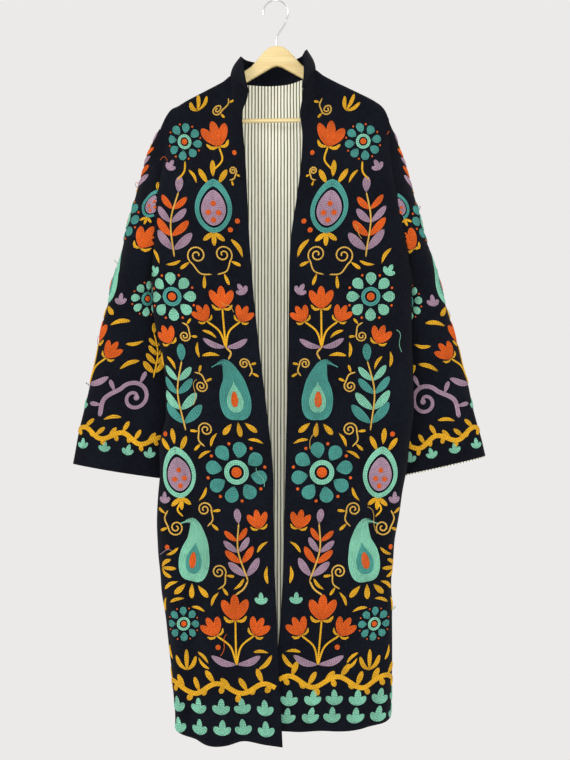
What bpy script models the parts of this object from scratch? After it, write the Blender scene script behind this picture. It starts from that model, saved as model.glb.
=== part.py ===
"""A long lined coat with a stand collar and an open front, hung on a flat wooden hanger.

World axes in metres: +Z is up, the coat's front faces -Y, and +X is on the right as seen from
the front. Left and right below are also as seen from the front. The origin is the inner top
of the hanger's hook. Sizes and tables are in millimetres, and heights are counted up from the
origin, so they are negative.
"""

from math import acos, asin, copysign, cos, pi, radians, sin, sqrt

import bmesh
import bpy
import numpy as np
from mathutils import Vector

MM = 0.001
SIGN = {"left": -1, "right": 1}

# Cloth and lining walls, and the gaps between pieces.
CLOTH = 1.6
LINING = 1.0
COLLAR = 2.2
SEAM = 0.35
COLLAR_SEAM = 1.6
SIDE_SEAM = 0.6
SHOULDER_GAP = 1.8
SHOULDER_GAP_FADE = 4
WELD = 0.05
LAYER = CLOTH + 0.4

# The hanger: a flat board with a straight bar and a wire hook, turned a little in its plane.
TILT = radians(1.0)
BOARD_THICKNESS = 12
BOARD_ROUNDING = 3.5
BOARD_ROUNDING_STEPS = 3
BOARD_CORNER = 60
HOOK_WIRE = 3.2
HOOK_RADIUS = 21.4
HOOK_START_ANGLE = 190
HOOK_END_ANGLE = -32
HOOK_STEPS = 22
HOOK_STEM_TOP = -72
HOOK_STEM_STEPS = 6
BAR_RADIUS = 4
BAR_HEIGHT = -221
BAR_REACH = 171
BAR_SIDES = 16
CLOTH_ON_BOARD = 3.2
ARM_START = 50
SHARP_EDGE = 40

# Upper edge of one arm: distance from the middle, height.
BOARD_TOP = [
    (0, -83), (12, -85.5), (22, -92.5), (30, -101), (38, -111), (47, -120.5), (56, -126.5),
    (66, -132), (80, -139.4), (90, -145.2), (106, -154), (127, -164.5), (151, -176.5),
    (172, -187.4), (183, -194.2),
]
# The arm's end and its lower edge, from the tip back to the middle.
BOARD_UNDER = [
    (188, -200), (191, -208), (192, -220), (187, -229), (176, -229), (171.3, -224),
    (171.3, -214), (164, -207), (150, -199), (130, -187.5), (90, -167), (50, -146), (25, -132),
    (9, -123), (0, -120.5),
]

# Where each shoulder line starts at the neck, and how it drops past the end of the arm.
NECK_REACH = {"left": 87, "right": 72}
SHOULDER_END = {
    "left": [(199, -199.8), (207.5, -211.7), (216.9, -231.3)],
    "right": [(193, -199), (200, -209.5), (205, -222.5)],
}
RIDGE = 10.2
RIDGE_ANGLES = [0, 30, 60, 90]
# The cloth rises a little off the board where the collar starts.
NECK_LIFT = 3
NECK_LIFT_LENGTH = 14

# The neckline in front of and behind the neck point: share of the panel's width, x, height,
# and how far it stands out from the hanger's plane.
FRONT_NECK = {
    "left": [(0, -50, -174, 28), (0.05, -62, -159, 22), (0.10, -77, -146.5, 13)],
    "right": [(0, 50, -166, 27), (0.05, 58.5, -151, 21), (0.10, 67, -137.5, 12)],
}
BACK_NECK = {
    "left": [(0, -3, -150, 28), (0.13, -29, -150, 26.5), (0.26, -61, -148, 20), (0.33, -78, -145, 11.5)],
    "right": [(0, -3, -150, 28), (0.13, 25, -147, 26.5), (0.26, 53, -138, 20), (0.33, 68, -131.5, 11.5)],
}
NECK_SHARE = {"front": 0.15, "back": 0.38}

# Outlines seen from the front: height, x. The side runs down the armhole and then the side.
SIDE = {
    "left": [
        (-235, -212.8), (-281, -206), (-340, -213), (-399, -220), (-468, -224), (-501, -228),
        (-530, -226), (-602, -221), (-644, -211), (-741, -202), (-771, -202), (-798, -209),
        (-877, -213), (-972, -218), (-1042, -213), (-1119, -204), (-1194, -195), (-1350, -182),
    ],
    "right": [
        (-222, 208.9), (-277, 210), (-327, 215), (-399, 228), (-445, 238), (-489, 247),
        (-562, 249), (-644, 250), (-751, 253), (-826, 244), (-868, 240), (-911, 232),
        (-961, 223), (-996, 218), (-1049, 214), (-1255, 213), (-1330, 209),
    ],
}
FRONT_EDGE = {
    "left": [
        (-174, -50), (-191, -54), (-207, -61), (-240, -60), (-288, -56), (-455, -47), (-556, -39),
        (-659, -28), (-755, -16), (-880, -4), (-937, -4), (-1009, -3), (-1129, 2), (-1197, 4),
        (-1281, 9), (-1365, 13),
    ],
    "right": [
        (-163, 52), (-190, 51), (-203, 48), (-254, 50), (-290, 48), (-371, 38), (-440, 28),
        (-556, 24), (-659, 23), (-770, 20), (-955, 16), (-1009, 15), (-1129, 9), (-1197, 3),
        (-1281, -3), (-1340, -11),
    ],
}
UNDERARM = {"left": -501, "right": -489}
# Hem height against the share of the front panel's width, and of half the back's.
FRONT_HEM = {
    "left": [(0, -1362), (0.2, -1357), (0.38, -1355), (0.52, -1361), (0.7, -1360), (0.85, -1346), (1, -1330)],
    "right": [(0, -1336), (0.3, -1336), (0.55, -1335), (0.8, -1328), (1, -1311)],
}
BACK_HEM = {
    "left": [(0, -1342), (0.5, -1344), (0.8, -1340), (1, -1330)],
    "right": [(0, -1342), (0.5, -1336), (0.8, -1324), (1, -1311)],
}

# How deep the coat is in front of and behind the hanger's plane: height, depth.
DEPTH = {
    "front": [
        (-1400, 54), (-1100, 52), (-800, 50), (-500, 48), (-350, 41), (-260, 31), (-200, 23), (-120, 14),
    ],
    "back": [
        (-1400, 43), (-1100, 41), (-800, 38), (-500, 35), (-350, 29), (-260, 22), (-200, 17), (-120, 12),
    ],
}
DEPTH_GROWTH = 150
LOWEST = -1400
# How far below the top line the columns reach their even shares of the width.
SETTLING = 200
# The armhole's depth as a share of the panel's depth, from the shoulder to the underarm.
ARMHOLE_SHARE = [(0, 1), (0.1, 0.95), (0.3, 0.82), (0.6, 0.7), (0.85, 0.5), (0.95, 0.28), (1, 0)]
SIDE_SEAM_Y = -2
WIDEST_Y = -20
SIDE_BLEND = 50
ROUNDING_START = {"front": 0.80, "back": 0.62}
BACK_END_ANGLE = 60
# Bounds for the cosine of the angle at which the front's rounding meets the side seam.
TURN_COSINE = (-0.9, 0.0)
# The left front laps over the right one near the hem.
LAP = {"left": -7, "right": 4}
LAP_START = -1000
LAP_LENGTH = 180
LAP_SHARE = 0.35

# Soft upright folds: x at the top and at the hem, height where each starts and where it is
# whole, half its width, and how far it comes out of the panel. They fade out at the side seam.
FOLD_END = 1.02
FOLD_FADE = 0.15
FOLDS = {
    ("front", "left"): [
        (-168, -150, -640, -900, 15, -7), (-120, -112, -650, -1250, 26, 5),
        (-66, -60, -760, -1300, 20, -5), (-28, -22, -860, -1300, 18, 3),
    ],
    ("front", "right"): [
        (196, 176, -600, -980, 16, -6), (146, 130, -650, -1250, 25, 5),
        (92, 84, -760, -1300, 20, -5), (50, 42, -860, -1300, 18, 3),
    ],
    ("back", "left"): [
        (-158, -150, -560, -1150, 20, -7), (-112, -108, -480, -1200, 22, 8), (-66, -64, -420, -1250, 20, -8),
        (-20, -20, -400, -1250, 24, 8),
    ],
    ("back", "right"): [
        (176, 160, -560, -1150, 20, -7), (128, 116, -480, -1200, 22, 8), (76, 70, -420, -1250, 20, -8),
        (-20, -20, -400, -1250, 24, 8),
    ],
}

# Columns and rows of the panels' grids. The armhole rows are shares of the way down to the
# underarm, and the skirt rows are shares of the way from there to the hem.
FRONT_COLUMNS = [0, 0.05, 0.10, 0.15, 0.27, 0.40, 0.54, 0.68, 0.80, 0.86, 0.92, 0.965, 1]
BACK_COLUMNS = [0, 0.13, 0.26, 0.33, 0.38, 0.50, 0.62, 0.74, 0.85, 0.93, 1]
ARMHOLE_ROWS = [0.13, 0.30, 0.48, 0.65, 0.80, 0.91, 0.975, 1]
SKIRT_ROWS = [0.05, 0.13, 0.22, 0.32, 0.42, 0.52, 0.62, 0.72, 0.82, 0.91, 0.985, 1]

# Sleeves. The outer fold as seen from the front: height, x. The cuff's height at the outer and
# the inner fold.
SLEEVE_LINE = {
    "left": [
        (-233, -213), (-255, -225), (-285, -238), (-320, -247), (-355, -258), (-403, -271),
        (-450, -282), (-507, -297), (-553, -309), (-638, -329), (-731, -349), (-788, -363), (-856, -377),
    ],
    "right": [
        (-222, 209), (-252, 221), (-292, 236), (-339, 249), (-383, 262), (-433, 276), (-485, 292),
        (-553, 311), (-596, 325), (-675, 347), (-743, 364), (-799, 378), (-841, 389),
    ],
}
CUFF = {"left": (-856, -884), "right": (-841, -877)}
# Below the underarm: share of the length, half the depth, y of the outer and the inner fold, and
# how far the inner fold tucks in behind the body's side.
SLEEVE_FORM = [
    (0, 33, 0, -2, -0.6), (0.08, 33, 1, 2, -1.5), (0.2, 32, 2, 8, 3), (0.4, 30, 4, 10, 5), (1, 24, 6, 10, 6),
]
SLEEVE_COLUMNS = 12
SLEEVE_FILL_START = 0.15
SLEEVE_TOP_ROWS = [0, 0.04, 0.08]
SLEEVE_ROWS = [0.05, 0.11, 0.19, 0.29, 0.40, 0.51, 0.62, 0.73, 0.84, 0.94, 1]
# The sleeve's lining is built as far in as it shows at the cuff.
CUFF_LINING_ROWS = 7

# The collar's upper edge: station along the neckline, x, y and height.
COLLAR_TOP = [
    (0, -59, -43, -131), (1, -62.5, -36, -121), (2, -65, -25, -110.5), (3, -64, -9, -105),
    (5, -50, 15, -107), (7, -2, 27, -111), (9, 42, 17, -101), (11, 57, -7, -93),
    (12, 57, -24, -96), (13, 54, -36, -103), (14, 50.5, -43, -111),
]
COLLAR_RISE = [0, 0.2, 0.45, 0.72, 1]
COLLAR_BULGE = 4.5

# Colours, roughness and metallic value of each material.
MATERIALS = {
    "cloth": ((0.008, 0.010, 0.016), 0.95, 0),
    "lining": ((0.80, 0.78, 0.66), 0.85, 0),
    "wood": ((0.70, 0.55, 0.28), 0.45, 0),
    "steel": ((0.62, 0.62, 0.62), 0.25, 1),
}


def smooth(t):
    """Goes from 0 to 1 with no corner at either end."""
    t = min(max(t, 0.0), 1.0)
    return t * t * (3 - 2 * t)


def along(table, at, column=1):
    """Reads a column of a table as a smooth curve through its rows, keyed by the first column."""
    rows = np.array(sorted(table), float)
    keys, values = rows[:, 0], rows[:, column]
    slopes = np.gradient(values, keys)
    at = min(max(at, keys[0]), keys[-1])
    i = min(max(int(np.searchsorted(keys, at)) - 1, 0), len(keys) - 2)
    step = keys[i + 1] - keys[i]
    t = (at - keys[i]) / step
    start = (1 + 2 * t) * (1 - t) ** 2 * values[i] + t * (1 - t) ** 2 * step * slopes[i]
    end = t * t * (3 - 2 * t) * values[i + 1] + t * t * (t - 1) * step * slopes[i + 1]
    return start + end


def hung(reach, height):
    """Turns a point of the hanger's own plane by the tilt, into world x and height."""
    return reach * cos(TILT) - height * sin(TILT), reach * sin(TILT) + height * cos(TILT)


def shoulder(side, reach):
    """World x and height of the shoulder line, which lies on the hanger's arm."""
    arm = [(r, h + CLOTH_ON_BOARD) for r, h in BOARD_TOP if r > ARM_START]
    lift = NECK_LIFT * (1 - smooth((reach - NECK_REACH[side]) / NECK_LIFT_LENGTH))
    return hung(SIGN[side] * reach, along(arm + SHOULDER_END[side], reach) + lift)


def top_line(face, side, share):
    """x, height and standing-out of a panel's upper edge: the neckline, then the shoulder."""
    neck_share = NECK_SHARE[face]
    if share < neck_share:
        neck = {"front": FRONT_NECK, "back": BACK_NECK}[face][side]
        x, height = shoulder(side, NECK_REACH[side])
        table = neck + [(neck_share, x, height, 0)]
        return [along(table, share, column) for column in (1, 2, 3)]
    tip = SHOULDER_END[side][-1][0]
    reach = NECK_REACH[side] + (tip - NECK_REACH[side]) * (share - neck_share) / (1 - neck_share)
    return [*shoulder(side, reach), 0]


def fold(face, side, x, height):
    """How far the soft folds bring a panel out at this place."""
    out = 0
    for x_top, x_hem, start, whole, half_width, depth in FOLDS[face, side]:
        grown = smooth((start - height) / (start - whole))
        middle = x_top + (x_hem - x_top) * smooth((start - height) / (start - LOWEST))
        out += depth * grown * np.exp(-(((x - middle) / half_width) ** 2))
    return out


def panel_point(face, side, share, row):
    """A point of the front or of half the back: share runs from the middle to the side."""
    way = {"front": -1, "back": 1}[face]
    x_top, z_top, stand = top_line(face, side, share)
    neck = share < NECK_SHARE[face]
    kind, value = row
    angle = radians(value) if kind == "ridge" else pi / 2
    level = UNDERARM["left"] + (UNDERARM["right"] - UNDERARM["left"]) * (0.5 + SIGN[side] * share / 2)
    if face == "front":
        level = UNDERARM[side]
    z = z_top - RIDGE * (1 - cos(angle))
    if kind == "armhole":
        z += (level - z) * value
    if kind == "skirt":
        hem = along({"front": FRONT_HEM, "back": BACK_HEM}[face][side], share)
        z = level + (hem - level) * value
    down = z_top - z

    inner = along(FRONT_EDGE[side], z) if face == "front" else BACK_NECK[side][0][1]
    outer = along(SIDE[side], z)
    start = ROUNDING_START[face]

    base = sqrt(stand**2 + (RIDGE * sin(angle)) ** 2)
    flat = base + (along(DEPTH[face], z) - base) * smooth(down / DEPTH_GROWTH)
    flat *= way
    tip_z = shoulder(side, SHOULDER_END[side][-1][0])[1]
    drop = (tip_z - z) / (tip_z - UNDERARM[side])
    share_of_depth = along(ARMHOLE_SHARE, drop)
    edge_y = flat * share_of_depth + SIDE_SEAM_Y * (1 - share_of_depth)
    below = smooth((UNDERARM[side] + SIDE_BLEND - z) / (2 * SIDE_BLEND))

    # The front turns in past its widest line, so its seam lies a little inside the outline.
    widest_y = edge_y + (WIDEST_Y - edge_y) * below
    front_flat = flat if face == "front" else -along(DEPTH["front"], z)
    turn = pi / 2
    if abs(front_flat - widest_y) > 1 and below > 0:
        lowest, highest = TURN_COSINE
        turn = acos(min(max((edge_y - widest_y) / (front_flat - widest_y), lowest), highest))
    front_start = inner + (outer - inner) * start
    if face == "back":
        edge = along(FRONT_EDGE[side], z)
        front_start = edge + (outer - edge) * ROUNDING_START["front"]
    seam_x = front_start + (outer - front_start) * sin(turn)

    if share <= start:
        x = inner + (outer - inner) * share
        y = flat
    elif face == "front":
        part = (share - start) / (1 - start) * turn
        x = front_start + (outer - front_start) * sin(part)
        y = widest_y + (flat - widest_y) * cos(part)
    else:
        end = radians(90 + (BACK_END_ANGLE - 90) * below)
        part = (share - start) / (1 - start) * end
        back_start = inner + (outer - inner) * start
        x = back_start + (seam_x - back_start) * sin(part) / sin(end)
        y = edge_y + (flat - edge_y) * (cos(part) - cos(end)) / (1 - cos(end))

    # The columns start on the top line and settle into even shares further down.
    straight = inner + (outer - inner) * share
    if share > start:
        straight = x
    plain_top = along(FRONT_EDGE[side], z_top) if face == "front" else BACK_NECK[side][0][1]
    side_top = along(SIDE[side], z_top)
    top_x = plain_top + (side_top - plain_top) * share
    if share > start:
        top_start = plain_top + (side_top - plain_top) * start
        top_x = top_start + (side_top - top_start) * sin((share - start) / (1 - start) * pi / 2)
    x = straight + (x_top - top_x) * (1 - smooth(down / SETTLING))

    y += way * fold(face, side, x, z) * smooth((FOLD_END - share) / FOLD_FADE)
    if face == "front":
        lapped = smooth((LAP_START - z) / LAP_LENGTH) * (1 - smooth(share / LAP_SHARE))
        y += LAP[side] * lapped
    if share == 1 or (kind == "ridge" and value == 0 and not neck):
        y += way * SIDE_SEAM
    return Vector((x, y, z))


ROWS = (
    [("ridge", angle) for angle in RIDGE_ANGLES]
    + [("armhole", share) for share in ARMHOLE_ROWS]
    + [("skirt", share) for share in SKIRT_ROWS]
)


def front_grid(side):
    return [[panel_point("front", side, share, row) for share in FRONT_COLUMNS] for row in ROWS]


def back_grid():
    grid = []
    for row in ROWS:
        left = [panel_point("back", "left", share, row) for share in BACK_COLUMNS]
        right = [panel_point("back", "right", share, row) for share in BACK_COLUMNS]
        middle = (left[0] + right[0]) / 2
        grid.append(left[:0:-1] + [middle] + right[1:])
    return grid


def sleeve_row(outer, inner, depth, opening):
    """An oval from the front seam round the outer fold to the back seam.

    The seams lie half an opening in front of and behind the inner point, and meet there where
    the opening is 0.
    """
    depth = max(depth, opening)
    end = pi - asin(opening / depth)
    row = []
    for i in range(SLEEVE_COLUMNS + 1):
        place_in_row = 2 * i / SLEEVE_COLUMNS - 1
        angle = abs(place_in_row) * end
        across = (1 - cos(angle)) / (1 - cos(end))
        out = Vector((0, copysign(depth * sin(angle), place_in_row), 0))
        row.append(outer.lerp(inner, across) + out)
    return row


def sleeve_grid(side):
    """Rows from the shoulder down the armhole, which leave it open, then closed ones to the cuff."""
    top_depth = SLEEVE_FORM[0][1]
    rows = []
    for share in SLEEVE_TOP_ROWS + ARMHOLE_ROWS:
        front = panel_point("front", side, 1, ("armhole", share))
        back = panel_point("back", side, 1, ("armhole", share))
        inner = (front + back) / 2
        inner.x += SIGN[side] * (SIDE_SEAM + SHOULDER_GAP * (1 - smooth(SHOULDER_GAP_FADE * share)))
        opening = (back.y - front.y) / 2 if share < 1 else 0
        height = inner.z + RIDGE * (1 - share)
        outer = Vector((along(SLEEVE_LINE[side], height), 0, height))
        if share == 0:
            outer.x = inner.x
        depth = opening + (top_depth - opening) * smooth(share - SLEEVE_FILL_START)
        rows.append(sleeve_row(outer, inner, depth, opening))

    cuff_out, cuff_in = CUFF[side]
    for t in SLEEVE_ROWS:
        depth, y_out, y_in, tuck = [along(SLEEVE_FORM, t, column) for column in (1, 2, 3, 4)]
        z_out = UNDERARM[side] + (cuff_out - UNDERARM[side]) * t
        z_in = UNDERARM[side] + (cuff_in - UNDERARM[side]) * t
        outer = Vector((along(SLEEVE_LINE[side], z_out), y_out, z_out))
        inner = Vector((along(SIDE[side], z_in) - SIGN[side] * tuck, y_in, z_in))
        rows.append(sleeve_row(outer, inner, depth, 0))
    return rows


def collar_grid():
    """Rows from the neckline up to the collar's edge."""
    halves = {}
    for side in SIGN:
        x, height = shoulder(side, NECK_REACH[side])
        half = [panel_point("front", side, share, ROWS[0]) for share, *_ in FRONT_NECK[side]]
        half.append(Vector((x, 0, height)))
        half += [panel_point("back", side, share, ROWS[0]) for share, *_ in BACK_NECK[side][::-1]]
        halves[side] = half
    middle = (halves["left"][-1] + halves["right"][-1]) / 2
    base = halves["left"][:-1] + [middle] + halves["right"][-2::-1]
    grid = []
    for rise in COLLAR_RISE:
        row = []
        for station, foot in enumerate(base):
            top = Vector([along(COLLAR_TOP, station, column) for column in (1, 2, 3)])
            before, after = base[max(station - 1, 0)], base[min(station + 1, len(base) - 1)]
            outward = Vector((before.y - after.y, after.x - before.x, 0)).normalized()
            foot = foot + Vector((0, 0, COLLAR_SEAM))
            row.append(foot.lerp(top, rise) + outward * COLLAR_BULGE * sin(pi * rise))
        grid.append(row)
    return grid


def normals(grid, closed=False):
    """Unit vectors out of a grid of points, whose columns run to the right seen from outside."""
    points = np.array([[tuple(p) for p in row] for row in grid])
    down = np.gradient(points, axis=0)
    if closed:
        around = np.roll(points, -1, axis=1) - np.roll(points, 1, axis=1)
    else:
        around = np.gradient(points, axis=1)
    square = np.cross(down, around)
    return square / np.linalg.norm(square, axis=2, keepdims=True)


def moved_in(grid, distance, closed=False):
    """The same grid moved towards its inner side."""
    points = np.array([[tuple(p) for p in row] for row in grid]) - distance * normals(grid, closed)
    return [[Vector(p) for p in row] for row in points]


def material(name):
    if name in bpy.data.materials:
        return bpy.data.materials[name]
    colour, roughness, metallic = MATERIALS[name]
    made = bpy.data.materials.new(name)
    made.use_nodes = True
    shader = made.node_tree.nodes["Principled BSDF"]
    shader.inputs["Base Color"].default_value = (*colour, 1)
    shader.inputs["Roughness"].default_value = roughness
    shader.inputs["Metallic"].default_value = metallic
    return made


def place(name, data, material_name):
    """Puts an object of this data in the coat's collection."""
    made = bpy.data.objects.new(name, data)
    data.materials.append(material(material_name))
    bpy.data.collections[COLLECTION].objects.link(made)
    return made


def shell(name, grid, wall, material_name, closed=False):
    """A cloth piece: an open surface through a grid of points, thickened on its inner side."""
    built = bmesh.new()
    rows = [[built.verts.new(point * MM) for point in row] for row in grid]
    columns = len(rows[0])
    for upper, lower in zip(rows, rows[1:]):
        for i in range(columns if closed else columns - 1):
            j = (i + 1) % columns
            built.faces.new([upper[i], lower[i], lower[j], upper[j]])
    bmesh.ops.remove_doubles(built, verts=built.verts, dist=WELD * MM)
    mesh = bpy.data.meshes.new(name)
    built.to_mesh(mesh)
    built.free()
    mesh.shade_smooth()
    made = place(name, mesh, material_name)
    thick = made.modifiers.new("wall", "SOLIDIFY")
    thick.thickness = wall * MM
    thick.offset = -1
    thick.use_quality_normals = True
    return made


def lining_of(grid, first=0, last=None):
    """A panel's lining: its points moved in, from under the ridge to above the hem's turn."""
    rows = moved_in(grid, LAYER)[len(RIDGE_ANGLES) - 1:-1]
    return [row[first:last] for row in rows]


def add_cloth():
    for side in SIGN:
        grid = front_grid(side)
        if side == "left":
            grid = [row[::-1] for row in grid]
        shell(f"front_{side}", grid, CLOTH, "cloth")
        shell(f"lining_front_{side}", lining_of(grid, 1, -1), LINING, "lining")

        rows = sleeve_grid(side)
        if side == "left":
            rows = [row[::-1] for row in rows]
        shell(f"sleeve_{side}", rows, CLOTH, "cloth")
        rings = [row[:-1] for row in rows[-CUFF_LINING_ROWS:]]
        shell(f"lining_sleeve_{side}", moved_in(rings, LAYER, closed=True), LINING, "lining", closed=True)

    back = [row[::-1] for row in back_grid()]
    shell("back", back, CLOTH, "cloth")
    shell("lining_back", lining_of(back, 1, -1), LINING, "lining")
    shell("collar", [row[::-1] for row in collar_grid()[::-1]], COLLAR, "cloth")


def add_board():
    """The flat board: a filled outline, thickened, with its edges rounded."""
    arm = [(reach, along(BOARD_TOP, reach)) for reach, _ in BOARD_TOP] + BOARD_UNDER
    outline = arm + [(-reach, height) for reach, height in arm[-2:0:-1]]
    built = bmesh.new()
    built.faces.new([built.verts.new((reach * MM, 0, height * MM)) for reach, height in outline])
    mesh = bpy.data.meshes.new("hanger_board")
    built.to_mesh(mesh)
    built.free()
    made = place("hanger_board", mesh, "wood")
    made.rotation_euler = (0, -TILT, 0)
    thick = made.modifiers.new("thickness", "SOLIDIFY")
    thick.thickness = BOARD_THICKNESS * MM
    thick.offset = 0
    bevel = made.modifiers.new("rounding", "BEVEL")
    bevel.width = BOARD_ROUNDING * MM
    bevel.segments = BOARD_ROUNDING_STEPS
    bevel.limit_method = "ANGLE"
    bevel.angle_limit = radians(BOARD_CORNER)


def add_bar():
    x, z = hung(0, BAR_HEIGHT)
    bpy.ops.mesh.primitive_cylinder_add(
        vertices=BAR_SIDES, radius=BAR_RADIUS * MM, depth=2 * BAR_REACH * MM,
        location=(x * MM, 0, z * MM), rotation=(0, pi / 2 - TILT, 0),
    )
    made = bpy.context.object
    made.name = made.data.name = "hanger_bar"
    made.data.materials.append(material("wood"))
    made.data.shade_smooth()
    made.data.set_sharp_from_angle(angle=radians(SHARP_EDGE))
    for collection in list(made.users_collection):
        collection.objects.unlink(made)
    bpy.data.collections[COLLECTION].objects.link(made)


def add_hook():
    """The wire hook: most of a circle round the rail, then a stem down to the board."""
    radius = HOOK_RADIUS + HOOK_WIRE / 2
    span = HOOK_END_ANGLE - HOOK_START_ANGLE
    angles = [radians(HOOK_START_ANGLE + span * i / HOOK_STEPS) for i in range(HOOK_STEPS + 1)]
    path = [(radius * cos(a), radius * sin(a) - HOOK_RADIUS) for a in angles]
    x, z = path[-1]
    x_end = hung(0, HOOK_STEM_TOP)[0]
    for i in range(1, HOOK_STEM_STEPS + 1):
        t = i / HOOK_STEM_STEPS
        path.append((x + (x_end - x) * smooth(t), z + (HOOK_STEM_TOP - z) * t))
    foot = BOARD_TOP[0][1] + SEAM
    path.append(hung(0, foot))
    data = bpy.data.curves.new("hanger_hook", "CURVE")
    data.dimensions = "3D"
    data.bevel_depth = HOOK_WIRE / 2 * MM
    data.bevel_resolution = 2
    data.use_fill_caps = True
    spline = data.splines.new("POLY")
    spline.points.add(len(path) - 1)
    for point, (px, pz) in zip(spline.points, path):
        point.co = (px * MM, 0, pz * MM, 1)
    place("hanger_hook", data, "steel")


COLLECTION = "long_coat_on_a_hanger"
for old in list(bpy.data.objects):
    bpy.data.objects.remove(old, do_unlink=True)
bpy.context.scene.collection.children.link(bpy.data.collections.new(COLLECTION))
add_board()
add_bar()
add_hook()
add_cloth()
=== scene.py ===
"""The looks of a long embroidered coat on a wooden hanger.

The cloth pieces are worked out from the same cut as the frame's solids, as fine shells with
creases. Raised wool yarn is laid on them row by row, in a traditional flower and leaf design.
Left and right are as seen from the front. The cut and the embroidery are in millimetres.
"""

from functools import partial
from math import atan, ceil, cos, pi, radians, sin

import bpy
import numpy as np
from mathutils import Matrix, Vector
from mathutils.bvhtree import BVHTree


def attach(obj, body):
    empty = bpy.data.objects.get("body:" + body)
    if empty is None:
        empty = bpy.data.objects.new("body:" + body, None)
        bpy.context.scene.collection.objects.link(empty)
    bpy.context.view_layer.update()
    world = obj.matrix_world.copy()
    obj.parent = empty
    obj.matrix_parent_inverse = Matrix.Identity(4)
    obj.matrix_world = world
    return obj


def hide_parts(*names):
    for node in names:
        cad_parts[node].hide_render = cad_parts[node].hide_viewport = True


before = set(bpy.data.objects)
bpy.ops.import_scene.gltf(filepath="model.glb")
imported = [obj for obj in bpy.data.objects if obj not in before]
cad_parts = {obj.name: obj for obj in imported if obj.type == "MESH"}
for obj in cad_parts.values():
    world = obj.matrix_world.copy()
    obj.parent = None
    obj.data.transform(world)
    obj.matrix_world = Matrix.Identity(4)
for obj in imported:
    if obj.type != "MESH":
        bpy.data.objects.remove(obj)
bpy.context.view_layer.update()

MM = 0.001
TINY = 1e-9
SIGN = {"left": -1, "right": 1}

# The cut of the coat, as in the frame's solids.
CLOTH = 1.6
LINING = 1.0
COLLAR = 2.2
LAYER = CLOTH + 0.4
# The collar's foot is tucked in behind the neckline.
COLLAR_TUCK = -1.4
SIDE_SEAM = 0.6
ARMHOLE_TUCK = 0.7
TILT = radians(1.0)
CLOTH_ON_BOARD = 3.2
RIDGE = 10.2
NECK_LIFT = 3
NECK_LIFT_LENGTH = 14
# Reach and height on the tilted hanger: the board's arm, then the end of each shoulder.
BOARD_ARM = [
    (56, -126.5), (66, -132), (80, -139.4), (90, -145.2), (106, -154), (127, -164.5), (151, -176.5),
    (172, -187.4), (183, -194.2),
]
NECK_REACH = {"left": 87, "right": 72}
SHOULDER_END = {
    "left": [(199, -199.8), (207.5, -211.7), (216.9, -231.3)],
    "right": [(193, -199), (200, -209.5), (205, -222.5)],
}
# Share across the panel, x, height and how far the neckline stands out from the middle.
NECK = {
    ("front", "left"): [(0, -50, -174, 28), (0.05, -62, -159, 22), (0.10, -77, -146.5, 13)],
    ("front", "right"): [(0, 50, -166, 27), (0.05, 58.5, -151, 21), (0.10, 67, -137.5, 12)],
    ("back", "left"): [
        (0, -3, -150, 28), (0.13, -29, -150, 26.5), (0.26, -61, -148, 20), (0.33, -78, -145, 11.5),
    ],
    ("back", "right"): [
        (0, -3, -150, 28), (0.13, 25, -147, 26.5), (0.26, 53, -138, 20), (0.33, 68, -131.5, 11.5),
    ],
}
BACK_MIDDLE_X = -3
# The share of a panel's upper edge that is neckline.
NECK_SHARE = {"front": 0.15, "back": 0.38}
# Height and x of the outline below the shoulder, then of the front edges.
SIDE = {
    "left": [
        (-235, -212.8), (-281, -206), (-340, -213), (-399, -220), (-468, -224), (-501, -228),
        (-530, -226), (-602, -221), (-644, -211), (-741, -202), (-771, -202), (-798, -209),
        (-877, -213), (-972, -218), (-1042, -213), (-1119, -204), (-1194, -195), (-1350, -182),
    ],
    "right": [
        (-222, 208.9), (-277, 210), (-327, 215), (-399, 228), (-445, 238), (-489, 247),
        (-562, 249), (-644, 250), (-751, 253), (-826, 244), (-868, 240), (-911, 232),
        (-961, 223), (-996, 218), (-1049, 214), (-1255, 213), (-1330, 209),
    ],
}
FRONT_EDGE = {
    "left": [
        (-174, -50), (-191, -54), (-207, -61), (-240, -60), (-288, -56), (-455, -47), (-556, -39),
        (-659, -28), (-755, -16), (-880, -4), (-937, -4), (-1009, -3), (-1129, 2), (-1197, 4),
        (-1281, 9), (-1365, 13),
    ],
    "right": [
        (-163, 52), (-190, 51), (-203, 48), (-254, 50), (-290, 48), (-371, 38), (-440, 28),
        (-556, 24), (-659, 23), (-770, 20), (-955, 16), (-1009, 15), (-1129, 9), (-1197, 3),
        (-1281, -3), (-1340, -11),
    ],
}
UNDERARM = {"left": -501, "right": -489}
# Share across the panel and height of the hem.
HEM = {
    ("front", "left"): [
        (0, -1362), (0.2, -1357), (0.38, -1355), (0.52, -1361), (0.7, -1360), (0.85, -1346), (1, -1330),
    ],
    ("front", "right"): [(0, -1336), (0.3, -1336), (0.55, -1335), (0.8, -1328), (1, -1311)],
    ("back", "left"): [(0, -1342), (0.5, -1344), (0.8, -1340), (1, -1330)],
    ("back", "right"): [(0, -1342), (0.5, -1336), (0.8, -1324), (1, -1311)],
}
# Height and distance from the middle plane.
DEPTH = {
    "front": [
        (-1400, 54), (-1100, 52), (-800, 50), (-500, 48), (-350, 41), (-260, 31), (-200, 23), (-120, 14),
    ],
    "back": [
        (-1400, 43), (-1100, 41), (-800, 38), (-500, 35), (-350, 29), (-260, 22), (-200, 17), (-120, 12),
    ],
}
DEPTH_GROWTH = 150
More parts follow.
